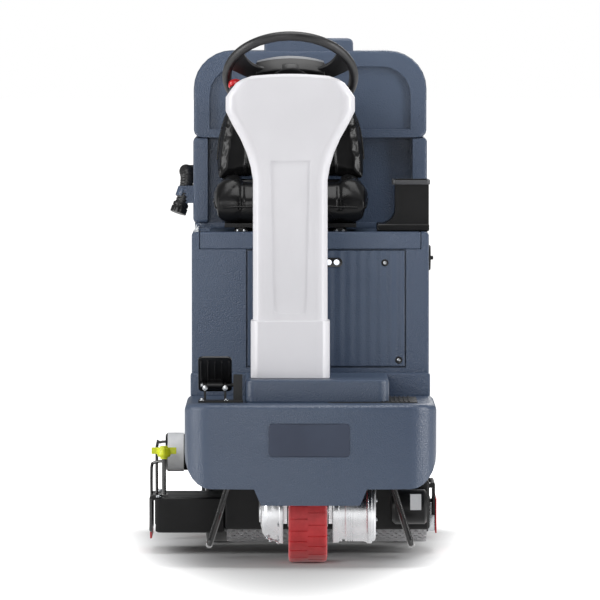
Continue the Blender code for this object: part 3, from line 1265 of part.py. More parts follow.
# ------------------------------------------------------------- brush deck
def make_brush_deck():
    """Cylindrical brush deck, raised: hood, end box, brushes, motors."""
    axis = pivot("brush_deck_axis", (0, BRUSH_DECK_Y, BRUSH_DECK_TOP))
    origin = (0, BRUSH_DECK_Y, BRUSH_DECK_TOP)
    y0 = BRUSH_DECK_Y - BRUSH_DECK_LENGTH / 2
    y1 = BRUSH_DECK_Y + BRUSH_DECK_LENGTH / 2
    left = DECK_LEFT + END_BOX_WIDTH
    right = DECK_RIGHT
    top = BRUSH_DECK_TOP
    w = 0.005
    low = BRUSH_LIFT + HOOD_CLEAR
    hood = node("brush_deck_hood", block(left, right, y0, y1, low, top), STEEL, origin, axis)
    soften(hood, 0.006, 1)
    cut(hood, block(left + w, right - w, y0 + w, y1 - w, low - 0.01, top - w))
    # the tray's way out through the hood's left wall
    cut(hood, block(right - 0.02, right + 0.02, TRAY_Y0 - SLIDE, y1 - TRAY_BACK + SLIDE, low - 0.01,
                    TRAY_TOP + SLIDE))
    # end box with its rounded outer corner
    box_top = END_BOX_TOP
    box_low = BRUSH_LIFT + 0.028
    r = 0.045
    plan = [(left - GAP, y0), (left - GAP, y1), (DECK_LEFT + 0.02, y1)] + arc(DECK_LEFT + r, y0 + r, r,
                                                                              180, 270, 5)
    plan.insert(3, (DECK_LEFT, y1 - 0.02))
    end_box = node("deck_end_box", extruded(plan, "z", box_low, box_top), BLACK, origin, axis)
    soften(end_box, 0.004, 1, 50)
    cut(end_box, block(DECK_LEFT + 0.008, left - 0.010, y0 + 0.010, y1 - 0.010, box_low - 0.01,
                       box_top - 0.008))
    # brushes on stub shafts that sit in the hood's right wall and the end box
    z = BRUSH_LIFT + BRUSH_RADIUS
    for name, y in (("front", BRUSH_FRONT_Y), ("rear", BRUSH_REAR_Y)):
        x0 = left + w + 0.006
        x1 = right - w - 0.006
        centre = Vector(((x0 + x1) / 2, y, z))
        spin = pivot(f"brush_{name}_axis", centre, axis)
        r = BRUSH_RADIUS
        h = x1 - centre.x
        profile = [(0, -h - 0.006 - w + 0.001), (0.008, -h - 0.006 - w + 0.001), (0.008, -h),
                   (r - 0.020, -h)]
        profile += [(r - 0.006, -h + 0.002), (r, -h + 0.010), (r, h - 0.010), (r - 0.006, h - 0.002)]
        profile += [(r - 0.020, h), (0.008, h), (0.008, h + 0.006 + w - 0.001), (0, h + 0.006 + w - 0.001)]
        node(f"brush_{name}", turned(profile, centre, "x", 16), BLACK, centre, spin)
        for x in (left + w / 2, right - w / 2):
            cut(hood, bar(x - w, x + w, y, z, 0.008 + GAP, 16))
        cut(end_box, bar(left - 0.02, left + 0.01, y, z, 0.008 + GAP, 16))
    # motors
    motor_z = MOTOR_RIGHT_Z
    y = BRUSH_DECK_Y
    r = MOTOR_RADIUS
    x0 = DECK_LEFT + 0.043
    x1 = -0.222
    body = [(0, x0), (r - 0.006, x0), (r, x0 + 0.006), (r, x0 + 0.012), (r - 0.003, x0 + 0.014),
            (r - 0.003, x0 + 0.066),
            (r, x0 + 0.068), (r, x1 - 0.020), (r - 0.008, x1), (0, x1)]
    motor = node("brush_motor_right", turned(body, (0, y, motor_z), "x", 24), BLACK, origin, axis)
    # plate that reaches over the end box, and the saddle that the motor lies in
    flank = motor_z - r * 0.5
    saddle = [(y - 0.045, top + 0.004), (y + 0.045, top + 0.004), (y + 0.045, flank), (y + 0.040, motor_z),
              (y - 0.040, motor_z), (y - 0.045, flank)]
    add(hood, block(x1 - 0.088, left + 0.040, y - 0.049, y + 0.049, top - 0.002, top + 0.012))
    add(hood, extruded(saddle, "x", x1 - 0.085, x1 - 0.022))
    cut(hood, bar(x0 - 0.02, x1 + 0.02, y, motor_z, r + GAP, 24))
    lx1 = right - 0.008
    lx0 = lx1 - 0.095
    lz = MOTOR_LEFT_Z
    lr = MOTOR_RADIUS * 0.9
    ly = y0 - lr - GAP
    body = [(0, lx0), (lr - 0.008, lx0), (lr, lx0 + 0.010), (lr, lx1 - 0.006), (lr - 0.006, lx1), (0, lx1)]
    second = node("brush_motor_left", turned(body, (0, ly, lz), "x", 20), BLACK, origin, axis)
    add(second, block(lx0 + 0.020, lx1 - 0.020, ly, y0 - GAP, lz - 0.030, lz + 0.030))
    make_tray(axis, left, right, y1, w, low)
    make_side_squeegees(axis, y0, y1)
    make_knob(axis)
    return axis


def make_tray(axis, left, right, y1, w, low):
    """Debris tray behind the rear brush; it slides out to the left."""
    origin = (right, (TRAY_Y0 + y1) / 2, low)
    slide = pivot("debris_tray_axis", origin, axis)
    x0 = left + w + 0.004
    x1 = right + 0.006
    y0 = TRAY_Y0
    yb = y1 - TRAY_BACK
    z0 = low + 0.002
    tray = node("debris_tray", block(x0, x1, y0, yb, z0, TRAY_TOP), BLACK, origin, slide)
    cut(tray, block(x0 + 0.003, x1 - 0.010, y0 + 0.003, yb - 0.003, z0 + 0.003, TRAY_TOP + 0.01))
    add(tray, block(x1 - 0.002, x1 + 0.012, (y0 + yb) / 2 - 0.014, (y0 + yb) / 2 + 0.014, TRAY_TOP - 0.016,
                    TRAY_TOP - 0.006))


def make_side_squeegees(axis, y0, y1):
    """Water deflectors either side of the deck, on hinged carriers."""
    x = DECK_RIGHT + 0.010
    ys = TRAY_Y0 - 0.016
    low = SIDE_BLADE_LOW
    pin_z = BRUSH_DECK_TOP - 0.012
    hinge = (x, BRUSH_DECK_Y, pin_z)
    swing = pivot("side_squeegee_left_axis", hinge, axis)
    arm = node("side_squeegee_left", block(x + 0.0, x + 0.006, y0 + 0.026, ys - 0.002, low + 0.020, pin_z),
               STEEL, hinge, swing)
    add(arm, rod((x, y0 + 0.026, pin_z), (x, ys - 0.002, pin_z), 0.006, 10))
    cut(arm, rod((x, y0 - 0.02, pin_z), (x, ys + 0.02, pin_z), 0.003 + GAP, 8))
    blade = block(x + 0.006 + GAP, x + 0.010, y0 + 0.026, ys - 0.002, low, BLADE_TOP)
    node("side_blade_left", blade, RED, hinge, swing)
    hood = bpy.data.objects["brush_deck_hood"]
    pin = node("side_squeegee_pin", rod((x, y0 + 0.018, pin_z), (x, ys + 0.006, pin_z), 0.003, 8), None)
    for y in (y0 + 0.021, ys + 0.003):
        add(pin, block(DECK_RIGHT - 0.003, x + 0.0045, y - 0.0035, y + 0.0035, pin_z - 0.008,
                       pin_z + 0.0045))
    combine(hood, pin, "UNION")
    xr = DECK_LEFT + 0.002
    node("side_blade_right", block(xr, xr + 0.005, y0 + 0.050, y1 - 0.020, BRUSH_LIFT + 0.010,
                                   BRUSH_LIFT + 0.028 - GAP), RED,
         (xr, BRUSH_DECK_Y, low), axis)


def make_knob(axis):
    """Wing knob and bent wire handle that lock the right-hand end box."""
    x = DECK_LEFT + 0.040
    y = BRUSH_DECK_Y - 0.120
    top = END_BOX_TOP + GAP
    z = KNOB_Z
    wire = 0.004
    post = node("deck_lock_rod", extruded(circle(x, y, 0.006, 10), "z", top, z - 0.010), STEEL, (x, y, z),
                axis)
    path = smooth_path([(x - 0.034, y, top), (x - 0.034, y, z - 0.040), (x - 0.028, y, z - 0.026),
                        (x - 0.010, y, z - 0.022), (x, y, z - 0.022)], 2)
    add(post, swept(path, wire, 8))
    hook_y = y + 0.044
    hook = smooth_path([(x - 0.020, hook_y, top), (x - 0.020, hook_y, z + 0.016),
                        (x - 0.012, hook_y, z + 0.028), (x + 0.004, hook_y, z + 0.030)], 2)
    add(post, swept(hook, wire, 8))
    add(post, block(x - 0.038, x + 0.010, y - 0.010, hook_y + 0.008, top, top + 0.005))
    turn = pivot("wing_knob_axis", (x, y, z), axis)
    profile = [(0, z - 0.010 + GAP), (0.016, z - 0.010 + GAP), (0.019, z - 0.004), (0.017, z + 0.014),
               (0, z + 0.014)]
    knob = node("wing_knob", turned(profile, (x, y, 0), "z", 12), YELLOW, (x, y, z), turn)
    for i in range(4):
        wing = block(x + 0.006, x + 0.034, y - 0.003, y + 0.003, z - 0.002, z + 0.016)
        if i % 2:
            wing = block(x + 0.006, x + 0.020, y - 0.003, y + 0.003, z - 0.002, z + 0.016)
        add(knob, moved(wing, about((x, y, z), "Z", 90 * i)))


def make_actuator():
    """Electric cylinder that lifts the deck: body on the frame, rod on it."""
    x = 0.060
    y = BRUSH_DECK_Y
    body = node("deck_actuator", extruded(circle(x, y, 0.020, 16), "z", BRUSH_DECK_TOP + 0.050,
                                          RAIL_BOTTOM + 0.006 - GAP), STEEL)
    cut(body, extruded(circle(x, y, 0.008 + GAP, 12), "z", BRUSH_DECK_TOP, RAIL_BOTTOM - 0.004))
    hood = bpy.data.objects["brush_deck_hood"]
    add(hood, extruded(circle(x, y, 0.008, 12), "z", BRUSH_DECK_TOP - 0.004, BRUSH_DECK_TOP + 0.080))


# ------------------------------------------------------------- squeegee
def make_squeegee():
    """Swinging link, lifting head with its blades and guide wheels."""
    pivot_z = RAIL_BOTTOM - 0.050 - GAP
    swing = pivot("squeegee_swing_axis", (0, LINK_PIVOT_Y, pivot_z))
    origin = (0, LINK_PIVOT_Y, pivot_z)
    arm_z = pivot_z
    lift_y = LINK_PIVOT_Y + 0.080
    link = node("squeegee_link", block(-0.030, 0.030, LINK_PIVOT_Y - 0.024, lift_y - 0.018, arm_z - 0.010,
                                       arm_z + 0.010), STEEL, origin, swing)
    add(link, extruded(circle(0, LINK_PIVOT_Y, LINK_PIN, 16), "z", arm_z, RAIL_BOTTOM + 0.012))
    for side in (-1, 1):
        x = side * 0.024
        add(link, block(x - 0.006, x + 0.006, lift_y - 0.030, lift_y + 0.014, arm_z - 0.014, arm_z + 0.010))
    cut(link, bar(-0.05, 0.05, lift_y, arm_z, 0.005 + GAP, 12))
    head = pivot("squeegee_lift_axis", (0, lift_y, arm_z), swing)
    at = (0, lift_y, arm_z)
    low = SQUEEGEE_LOW
    beam_low = low + 0.034
    beam_top = beam_low + 0.040
    half = SQUEEGEE_WIDTH / 2
    arms = node("squeegee_body", bar(-0.034, 0.034, lift_y, arm_z, 0.005, 12), ALUMINIUM, at, head)
    add(arms, bar(-0.016, 0.016, lift_y, arm_z, 0.010, 12))
    back = SQUEEGEE_Y
    profile = [(lift_y - 0.006, arm_z - 0.005), (back - 0.042, beam_top + 0.004),
               (back - 0.034, beam_low + 0.012),
               (back - 0.019, beam_low + 0.012), (back - 0.0235, beam_top + 0.012), (lift_y + 0.006,
                                                                                     arm_z + 0.005)]
    add(arms, extruded(profile, "x", -0.014, 0.014))
    # curved beam, swept back at its ends
    count = 11
    rings = []
    for i in range(count + 1):
        t = -1 + 2 * i / count
        x = half * t
        y = SQUEEGEE_Y - SQUEEGEE_BOW * t * t
        d = 0.022
        rings.append([Vector((x, y - d, beam_low)), Vector((x, y + d, beam_low)),
                      Vector((x, y + d, beam_top - 0.008)),
                      Vector((x, y + d - 0.008, beam_top)), Vector((x, y - d + 0.008,
                                                                    beam_top)),
                                                                    Vector((x, y - d, beam_top - 0.008))])
    beam = add(arms, lofted(rings))
    cut(beam, extruded(circle(0, SQUEEGEE_Y + HOSE_SOCKET_BACK, HOSE_RADIUS - 0.0085, 12), "z",
                       beam_low - 0.01, beam_top + 0.01))
    rings = []
    for i in range(count + 1):
        t = -1 + 2 * i / count
        x = (half - 0.004) * t
        y = SQUEEGEE_Y - SQUEEGEE_BOW * t * t + 0.012
        rings.append([Vector((x, y - 0.002, low)), Vector((x, y + 0.002, low)),
                      Vector((x, y + 0.002, beam_low - GAP)),
                      Vector((x, y - 0.002, beam_low - GAP))])
    node("squeegee_blade", lofted(rings), RED, at, head)
    # hose socket on the beam
    sy = SQUEEGEE_Y + HOSE_SOCKET_BACK
    r = HOSE_RADIUS
    socket = [(r - 0.004, beam_top - 0.006), (r + 0.004, beam_top - 0.006), (r + 0.004, beam_top + 0.030),
              (r - 0.004, beam_top + 0.030)]
    add(beam, turned(socket, (0, sy, 0), "z", 16))
    return beam_top


def make_vacuum_hose(beam_top):
    """Suction hose from the squeegee's socket up to the recovery tank. It is
    in two lengths, so that each bends across one joint only."""
    y = SQUEEGEE_Y + HOSE_SOCKET_BACK
    low = beam_top + 0.030 + GAP
    split = HOSE_SPLIT_Z
    lower = [(0, y, low)] + smooth_path([(0, y, low + 0.010), (0, y + 0.006, (low + split) / 2),
                                         (0, y + 0.008, split - 0.010)], 3)
    lower.append((0, y + 0.008, split - GAP))
    node("vacuum_hose_lower", swept(lower, HOSE_RADIUS, 10), BLACK)
    top = HOSE_TOP_Z
    path = [(0, y + 0.008, split + 0.010), (0, y + 0.006, (split + top) / 2), (0, y, top - 0.090),
            (0, y - 0.024, top - 0.030),
            (0, TANK_BACK + 0.050, top - 0.004), (0, TANK_BACK + 0.016, top)]
    upper = [(0, y + 0.008, split)] + smooth_path(path, 3) + [(0, TANK_BACK - 0.010, top)]
    node("vacuum_hose_upper", swept(upper, HOSE_RADIUS, 10), BLACK)


# ------------------------------------------------------------- build
def build():
    global machine
    clear_scene()
    machine = bpy.data.objects.new("machine", None)
    bpy.context.scene.collection.objects.link(machine)
    left = min(DECK_LEFT, -BOX_WIDTH / 2)
    right = max(DECK_RIGHT + 0.020, DECK_WIDTH / 2, SQUEEGEE_WIDTH / 2)
    machine.location = (-(left + right) / 2, -SQUEEGEE_BACK / 2, 0)
    make_front_deck()
    make_plaque()
    make_chassis()
    make_skid("skid_right", -1)
    make_skid("skid_left", 1)
    make_rear_wheels()
    make_drive_unit()
    make_steering_line()
    front, rear = make_column()
    make_steering_wheel()
    make_controls(front, rear)
    make_pedal()
    make_solution_tank()
    make_service_panel()
    make_battery()
    make_seat_lid()
    make_seat()
    make_storage_box()
    make_recovery_tank()
    make_tank_lid()
    make_vacuum_motor()
    make_fill_cap()
    make_drain_hose()
    make_brush_deck()
    make_actuator()
    beam_top = make_squeegee()
    make_vacuum_hose(beam_top)


build()
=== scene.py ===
# %% [markdown]
# # Ride-on floor scrubber: the looks
# The frame brings in every solid of the machine at its true place. This file
# gives each one its real finish, and models the pieces that need more shape
# than a construction solid has: the upholstery, the tyre's tread, the wheel.

# %% Load the frame
import json
from math import atan2, cos, degrees, pi, radians, sin
import bpy
from mathutils import Matrix, Vector


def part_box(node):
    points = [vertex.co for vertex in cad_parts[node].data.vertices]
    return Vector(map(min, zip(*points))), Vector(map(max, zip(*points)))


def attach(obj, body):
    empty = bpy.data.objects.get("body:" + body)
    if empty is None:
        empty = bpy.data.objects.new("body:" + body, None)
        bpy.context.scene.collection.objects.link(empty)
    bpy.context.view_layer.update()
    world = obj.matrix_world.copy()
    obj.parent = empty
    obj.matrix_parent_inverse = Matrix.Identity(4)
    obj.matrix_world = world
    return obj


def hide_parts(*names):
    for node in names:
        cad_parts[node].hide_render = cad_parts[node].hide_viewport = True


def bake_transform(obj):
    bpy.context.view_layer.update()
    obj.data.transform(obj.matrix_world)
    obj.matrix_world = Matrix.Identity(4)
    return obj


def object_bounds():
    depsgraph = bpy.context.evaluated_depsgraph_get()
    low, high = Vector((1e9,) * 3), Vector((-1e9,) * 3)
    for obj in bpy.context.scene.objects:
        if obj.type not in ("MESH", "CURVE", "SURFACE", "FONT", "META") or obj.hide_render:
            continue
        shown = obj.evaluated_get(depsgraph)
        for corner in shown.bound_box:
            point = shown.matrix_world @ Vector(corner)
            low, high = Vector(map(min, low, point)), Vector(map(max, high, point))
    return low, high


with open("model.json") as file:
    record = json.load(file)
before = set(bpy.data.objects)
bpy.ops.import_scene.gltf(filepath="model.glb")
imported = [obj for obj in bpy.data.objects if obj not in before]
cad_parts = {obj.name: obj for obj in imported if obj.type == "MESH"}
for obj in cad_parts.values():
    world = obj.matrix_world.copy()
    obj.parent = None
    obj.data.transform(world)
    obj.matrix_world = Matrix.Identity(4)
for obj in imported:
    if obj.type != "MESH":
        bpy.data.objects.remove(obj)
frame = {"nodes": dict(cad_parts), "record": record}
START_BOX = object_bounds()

NODES = frame["nodes"]
MM = 0.001
print("machine is", [round(high - low, 3) for low, high in zip(*START_BOX)], "m")

# %% [markdown]
# ## Where things are
# The solids' own boxes give every place below, so a piece made here follows
# the machine if one of its sizes changes. `middle` and `low` save typing.

# %% Places
def low(node):
    return Vector(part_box(node)[0])


def high(node):
    return Vector(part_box(node)[1])


def middle(node):
    return (low(node) + high(node)) / 2


JOINTS = {joint["name"]: joint for joint in frame["record"]["behaviour"]["joints"]}
STEER = Vector(JOINTS["drive_steer"]["pos_m"])
WHEEL_POS = Vector(JOINTS["steering_wheel_turn"]["pos_m"])
WHEEL_AXIS = Vector(JOINTS["steering_wheel_turn"]["axis"])
WHEEL_TILT = atan2(WHEEL_AXIS.y, WHEEL_AXIS.z)
print("steering wheel leans", round(degrees(WHEEL_TILT), 1), "degrees")

# %% [markdown]
# ## Camera
# A machine is shown in a catalogue from far away with a long lens, so that its
# front and its back keep nearly the same scale. The camera stands 25 m off at
# a person's eye height, and a 560 mm lens brings the machine up to the size of
# the frame. AIM is the point in the middle of the view.

# %% Camera
AIM = Vector((0.017, START_BOX[0][1] + 0.210, 0.707))
CAMERA_AWAY = 25.0
CAMERA_RISE = radians(1.774)

bpy.ops.object.select_all(action="DESELECT")
bpy.ops.object.camera_add(
    location=AIM + CAMERA_AWAY * Vector((0, -cos(CAMERA_RISE), sin(CAMERA_RISE))),
    rotation=(pi / 2 - CAMERA_RISE, 0, 0),
)
camera = bpy.context.object
camera.name = "camera"
camera.data.lens = 560
camera.data.sensor_width = 36
camera.data.clip_end = 200
bpy.context.scene.camera = camera

# %% [markdown]
# ## Light
# Studios light a machine with big soft boxes. One hangs overhead, which puts
# the bright rims on every rounded top edge. Two tall ones stand at the sides
# and rake across, so that every rounded upright edge shows a bright line. The
# one in front is kept weak, and one behind parts the back from the floor.

# %% Soft boxes
def soft_box(name, place, aim, size, power):
    """A rectangular lamp at a place, turned to face a point. Sizes in metres, power in watts."""
    bpy.ops.object.light_add(type="AREA", location=place)
    lamp = bpy.context.object
    lamp.name = name
    lamp.rotation_euler = (Vector(aim) - Vector(place)).to_track_quat("-Z", "Y").to_euler()
    lamp.data.shape = "RECTANGLE"
    lamp.data.size = size[0]
    lamp.data.size_y = size[1]
    lamp.data.energy = power
    return lamp


soft_box("overhead_box", (0.2, -0.6, 3.9), (0, -0.1, 0.6), (2.6, 2.2), 74)
soft_box("front_box", (-1.2, -5.6, 2.0), (0, 0, 0.6), (1.8, 1.8), 58)
soft_box("left_box", (3.6, -1.5, 1.5), (0, -0.2, 0.7), (0.9, 2.6), 92)
soft_box("right_box", (-3.6, -1.35, 1.6), (0, -0.2, 0.8), (0.9, 2.6), 88)
soft_box("back_box", (1.2, 4.4, 2.8), (0, 0, 0.8), (2.4, 1.8), 46)

# %% [markdown]
# ## Colour and node helpers
# Colours are picked as the hex values a paint program shows, and turned into
# the linear values that a renderer adds up. `add_node` adds one shader node,
# sets it up and links it.

# %% Helpers for materials
def colour(code):
    parts = [int(code[i:i + 2], 16) / 255 for i in (1, 3, 5)]
    linear = [c / 12.92 if c <= 0.04045 else ((c + 0.055) / 1.055) ** 2.4 for c in parts]
    return (*linear, 1.0)


def add_node(material, kind, links=(), **settings):
    """Adds a node. links: (its input, other node, other's output)."""
    node = material.node_tree.nodes.new(kind)
    for key, value in settings.items():
        if key.startswith("in_"):
            name = key[3:].replace("_", " ")
            node.inputs[int(name) if name.isdigit() else name].default_value = value
        else:
            setattr(node, key, value)
    for into, source, out in links:
        material.node_tree.links.new(source.outputs[out], node.inputs[into])
    return node


def new_material(name, base, roughness, metallic=0.0, **more):
    material = bpy.data.materials.new(name)
    material.use_nodes = True
    shader = material.node_tree.nodes["Principled BSDF"]
    shader.inputs["Base Color"].default_value = colour(base)
    shader.inputs["Roughness"].default_value = roughness
    shader.inputs["Metallic"].default_value = metallic
    for key, value in more.items():
        shader.inputs[key.replace("_", " ")].default_value = value
    return material


def surface(material, dark, light, patch_mm, grain_mm, depth_mm, rough=None, grain="noise"):
    """Colour that drifts between two tones in patches, and a raised grain of a width and a depth."""
    shader = material.node_tree.nodes["Principled BSDF"]
    place = add_node(material, "ShaderNodeTexCoord")
    patches = add_node(material, "ShaderNodeTexNoise", [("Vector", place, "Object")],
                       in_Scale=1 / (patch_mm * MM), in_Detail=3.0)
    tones = add_node(material, "ShaderNodeValToRGB", [("Fac", patches, "Fac")])
    tones.color_ramp.elements[0].position = 0.35
    tones.color_ramp.elements[0].color = colour(dark)
    tones.color_ramp.elements[1].position = 0.65
    tones.color_ramp.elements[1].color = colour(light)
    link = material.node_tree.links.new
    link(tones.outputs["Color"], shader.inputs["Base Color"])
    kind = "ShaderNodeTexVoronoi" if grain == "pebble" else "ShaderNodeTexNoise"
    fine = add_node(material, kind, [("Vector", place, "Object")], in_Scale=1 / (grain_mm * MM))
    out = "Distance" if grain == "pebble" else "Fac"
    bump = add_node(material, "ShaderNodeBump", [("Height", fine, out)], in_Distance=depth_mm * MM,
                    invert=grain == "pebble")
    link(bump.outputs["Normal"], shader.inputs["Normal"])
    if rough:
        spread = add_node(material, "ShaderNodeMapRange", [("Value", patches, "Fac")],
                          in_From_Min=0.3, in_From_Max=0.7, in_To_Min=rough[0], in_To_Max=rough[1])
        link(spread.outputs["Result"], shader.inputs["Roughness"])
    return material


# %% [markdown]
# ## Floor
# The floor is one pale sheet that reaches past the top of the view. It glows
# for the camera and in reflections only. For the camera it glows not at all near
# the machine, where a painted shadow also darkens its colour to grey so that the
# soft shadow reads, and fully further off, so that the background is pure white
# wherever the lamps reach. In reflections it glows at half strength everywhere.

# %% Floor
bpy.ops.object.select_all(action="DESELECT")
bpy.ops.mesh.primitive_plane_add(size=260, location=(0, 0, -0.001))
floor = bpy.context.object
floor.name = "floor"

SHADE_HALF_WIDTH = 0.54
paper = new_material("studio_paper_with_painted_shadow", "#e8e8e8", 0.9)
# How far a point is from the machine, which sets the reach of the painted
# shadow: 1 at 0.54 m to each side, growing slowly forwards and fast behind.
spot = add_node(paper, "ShaderNodeTexCoord")
axes = add_node(paper, "ShaderNodeSeparateXYZ", [("Vector", spot, "Object")])
sideways = add_node(paper, "ShaderNodeMath", [(0, axes, "X")], operation="MULTIPLY",
                    in_1=1 / SHADE_HALF_WIDTH)
forward = add_node(paper, "ShaderNodeMapRange", [("Value", axes, "Y")],
                   in_From_Min=-3.2, in_From_Max=1.0, in_To_Min=1.05, in_To_Max=0.30)
backward = add_node(paper, "ShaderNodeMapRange", [("Value", axes, "Y")],
                    in_From_Min=0.9, in_From_Max=2.0, in_To_Min=0.30, in_To_Max=1.25)
lengthwise = add_node(paper, "ShaderNodeMath", [(0, forward, "Result"), (1, backward, "Result")],
                      operation="MAXIMUM")
both = add_node(paper, "ShaderNodeCombineXYZ", [("X", sideways, 0), ("Y", lengthwise, 0)])
away = add_node(paper, "ShaderNodeVectorMath", [(0, both, 0)], operation="LENGTH")
# A painted shadow darkens the paper's colour near the machine; then how much it glows.
shade = add_node(paper, "ShaderNodeMapRange", [("Value", away, "Value")], interpolation_type="SMOOTHERSTEP",
                 in_From_Min=0.30, in_From_Max=1.05, in_To_Min=0.24, in_To_Max=0.80)
painted_shadow_tone = add_node(paper, "ShaderNodeCombineColor", [("Red", shade, "Result"), ("Green", shade, "Result"),
                                                  ("Blue", shade, "Result")])
level = add_node(paper, "ShaderNodeMapRange", [("Value", away, "Value")], interpolation_type="SMOOTHERSTEP",
                 in_From_Min=0.66, in_From_Max=1.20, in_To_Min=0.0, in_To_Max=1.0)
rays = add_node(paper, "ShaderNodeLightPath")
seen = add_node(paper, "ShaderNodeMath", [(0, rays, "Is Camera Ray"), (1, rays, "Is Transmission Ray")],
                operation="MAXIMUM")
halo = add_node(paper, "ShaderNodeMath", [(0, seen, 0), (1, level, "Result")], operation="MULTIPLY")
mirrored = add_node(paper, "ShaderNodeMath", [(0, rays, "Is Glossy Ray")], operation="MULTIPLY", in_1=0.50)
glow = add_node(paper, "ShaderNodeMath", [(0, halo, 0), (1, mirrored, 0)], operation="MAXIMUM")
paper_shader = paper.node_tree.nodes["Principled BSDF"]
paper_shader.inputs["Emission Color"].default_value = colour("#ffffff")
paper.node_tree.links.new(painted_shadow_tone.outputs[0], paper_shader.inputs["Base Color"])
paper.node_tree.links.new(glow.outputs[0], paper_shader.inputs["Emission Strength"])
floor.data.materials.append(paper)

# The world is white to the camera and through clear parts, and much dimmer as
# a light and in reflections, so that it fills the shadows without washing out.
world = bpy.data.worlds.new("studio")
bpy.context.scene.world = world
world.use_nodes = True
sky = world.node_tree.nodes["Background"]
sky.inputs["Color"].default_value = colour("#ffffff")
rays = add_node(world, "ShaderNodeLightPath")
clear = add_node(world, "ShaderNodeMath", [(0, rays, "Is Camera Ray"), (1, rays, "Is Transmission Ray")],
                 operation="MAXIMUM")
mirror = add_node(world, "ShaderNodeMath", [(0, rays, "Is Glossy Ray")], operation="MULTIPLY", in_1=0.16)
brighter = add_node(world, "ShaderNodeMath", [(0, clear, 0), (1, mirror, 0)], operation="MAXIMUM")
bright = add_node(world, "ShaderNodeMath", [(0, brighter, 0)], operation="MAXIMUM", in_1=0.24)
world.node_tree.links.new(bright.outputs[0], sky.inputs["Strength"])
bpy.context.scene.view_settings.view_transform = "Standard"

# %% [markdown]
# ## Finishes
# Each finish starts from the real material and how its surface was made. The
# numbers of `surface` are the width of the drifting patches, the width of the
# grain and its depth, all in millimetres, and the range of roughness. Real
# grain is mostly well under a millimetre wide and would not show from here, so
# it is drawn 1 to 2.4 mm wide.

# %% Moulded plastics
# Rotomoulded polyethylene: a warm mould and slow cooling leave a pebble grain
# and a soft sheen. The real grain is 1 mm; 3.6 mm shows at this distance.
POLYETHYLENE = surface(new_material("rotomoulded_polyethylene_slate", "#404e64", 0.36),
                       "#3e4b60", "#445165", 260, 3.6, 0.70, (0.30, 0.37), "pebble")
# The service panel is moulded with shallow upright flutes, 28 mm apart, that
# stiffen it; they are added to the grain as a second, much wider relief.
FLUTED_PANEL = surface(new_material("fluted_polyethylene_panel_slate", "#404e64", 0.36),
                       "#3e4b60", "#445165", 260, 3.6, 0.70, (0.30, 0.37), "pebble")
place = add_node(FLUTED_PANEL, "ShaderNodeTexCoord")
flutes = add_node(FLUTED_PANEL, "ShaderNodeTexWave", [("Vector", place, "Object")],
                  in_Scale=2 * pi / (20 * 28 * MM), bands_direction="X", wave_profile="SIN")
relief = add_node(FLUTED_PANEL, "ShaderNodeBump", [("Height", flutes, "Fac")], in_Distance=2.2 * MM)
panel_shader = FLUTED_PANEL.node_tree.nodes["Principled BSDF"]
grain_bump = panel_shader.inputs["Normal"].links[0].from_node
FLUTED_PANEL.node_tree.links.new(relief.outputs["Normal"], grain_bump.inputs["Normal"])
# The plaque's place in the mould is polished: smoother, darker and plain.
PLAQUE = surface(new_material("smooth_polyethylene_plaque_navy", "#2b3549", 0.36),
                 "#2a3347", "#2f394d", 120, 2.0, 0.05, (0.32, 0.40))
# Injection-moulded ABS, polished mould: even colour, soft clear highlight.
WHITE_ABS = surface(new_material("injection_moulded_abs_white", "#dcdbdf", 0.32),
                    "#d9d8dc", "#dfdee2", 320, 1.5, 0.02, (0.28, 0.36))
# Spark-eroded black polypropylene: fine matt grain.
BLACK_PP = surface(new_material("spark_textured_polypropylene_black", "#0b0b0c", 0.42,
                                Specular_IOR_Level=0.22),
                   "#09090a", "#0f0f10", 90, 2.0, 0.08, (0.34, 0.46))
# Smooth black nylon on covers and caps.
BLACK_NYLON = surface(new_material("moulded_nylon_black", "#111112", 0.32, Specular_IOR_Level=0.4),
                      "#0f0f10", "#151516", 60, 1.6, 0.03, (0.30, 0.42))
# Charcoal ABS from a textured mould: even and dull.
GREY_ABS = surface(new_material("textured_abs_charcoal", "#3a3b3e", 0.5),
                   "#353639", "#404144", 80, 1.8, 0.06, (0.42, 0.55))
# Dyed nylon: lime that is easy to find by eye, with a soft shine.
YELLOW_NYLON = surface(new_material("moulded_nylon_lime", "#d2da1a", 0.38),
                       "#c8d016", "#dbe324", 20, 1.2, 0.04, (0.32, 0.45))
# Dyed nylon from a polished mould: bright red, with a sharp highlight.
RED_NYLON = surface(new_material("moulded_nylon_red", "#d8232a", 0.28),
                    "#cc1e25", "#de2a31", 20, 1.5, 0.02, (0.22, 0.32))

# %% Rubbers
# Cast polyurethane, turned to size: satin and a little waxy.
RED_PU = surface(new_material("cast_polyurethane_red", "#d03a3f", 0.42),
                 "#c83439", "#d84145", 30, 2.0, 0.10, (0.36, 0.50))
# Vulcanised rubber: dull, and uneven where it has bloomed.
BLACK_RUBBER = surface(new_material("vulcanised_rubber_black", "#131313", 0.6),
                       "#0f0f0f", "#181818", 40, 2.0, 0.10, (0.48, 0.66))
# Natural gum rubber cut from sheet: dense, matt red.
RED_GUM = surface(new_material("natural_gum_rubber_red", "#b3262b", 0.5),
                  "#a62026", "#bd2d31", 40, 2.0, 0.05, (0.42, 0.58))

# %% Metals
# Powder baked onto steel: a fine orange peel under a satin shine.
POWDER_COAT = surface(new_material("powder_coated_steel_black", "#101011", 0.34, Specular_IOR_Level=0.3),
                      "#0d0d0e", "#141415", 70, 2.2, 0.05, (0.28, 0.40))
# Tubes are coated thicker and look wet: a clear lacquer over the black.
LACQUERED = surface(new_material("lacquered_steel_tube_black", "#0e0e0f", 0.22, 0.0,
                                 Coat_Weight=0.8, Coat_Roughness=0.08),
                    "#0c0c0d", "#111112", 60, 2.0, 0.02, (0.18, 0.28))
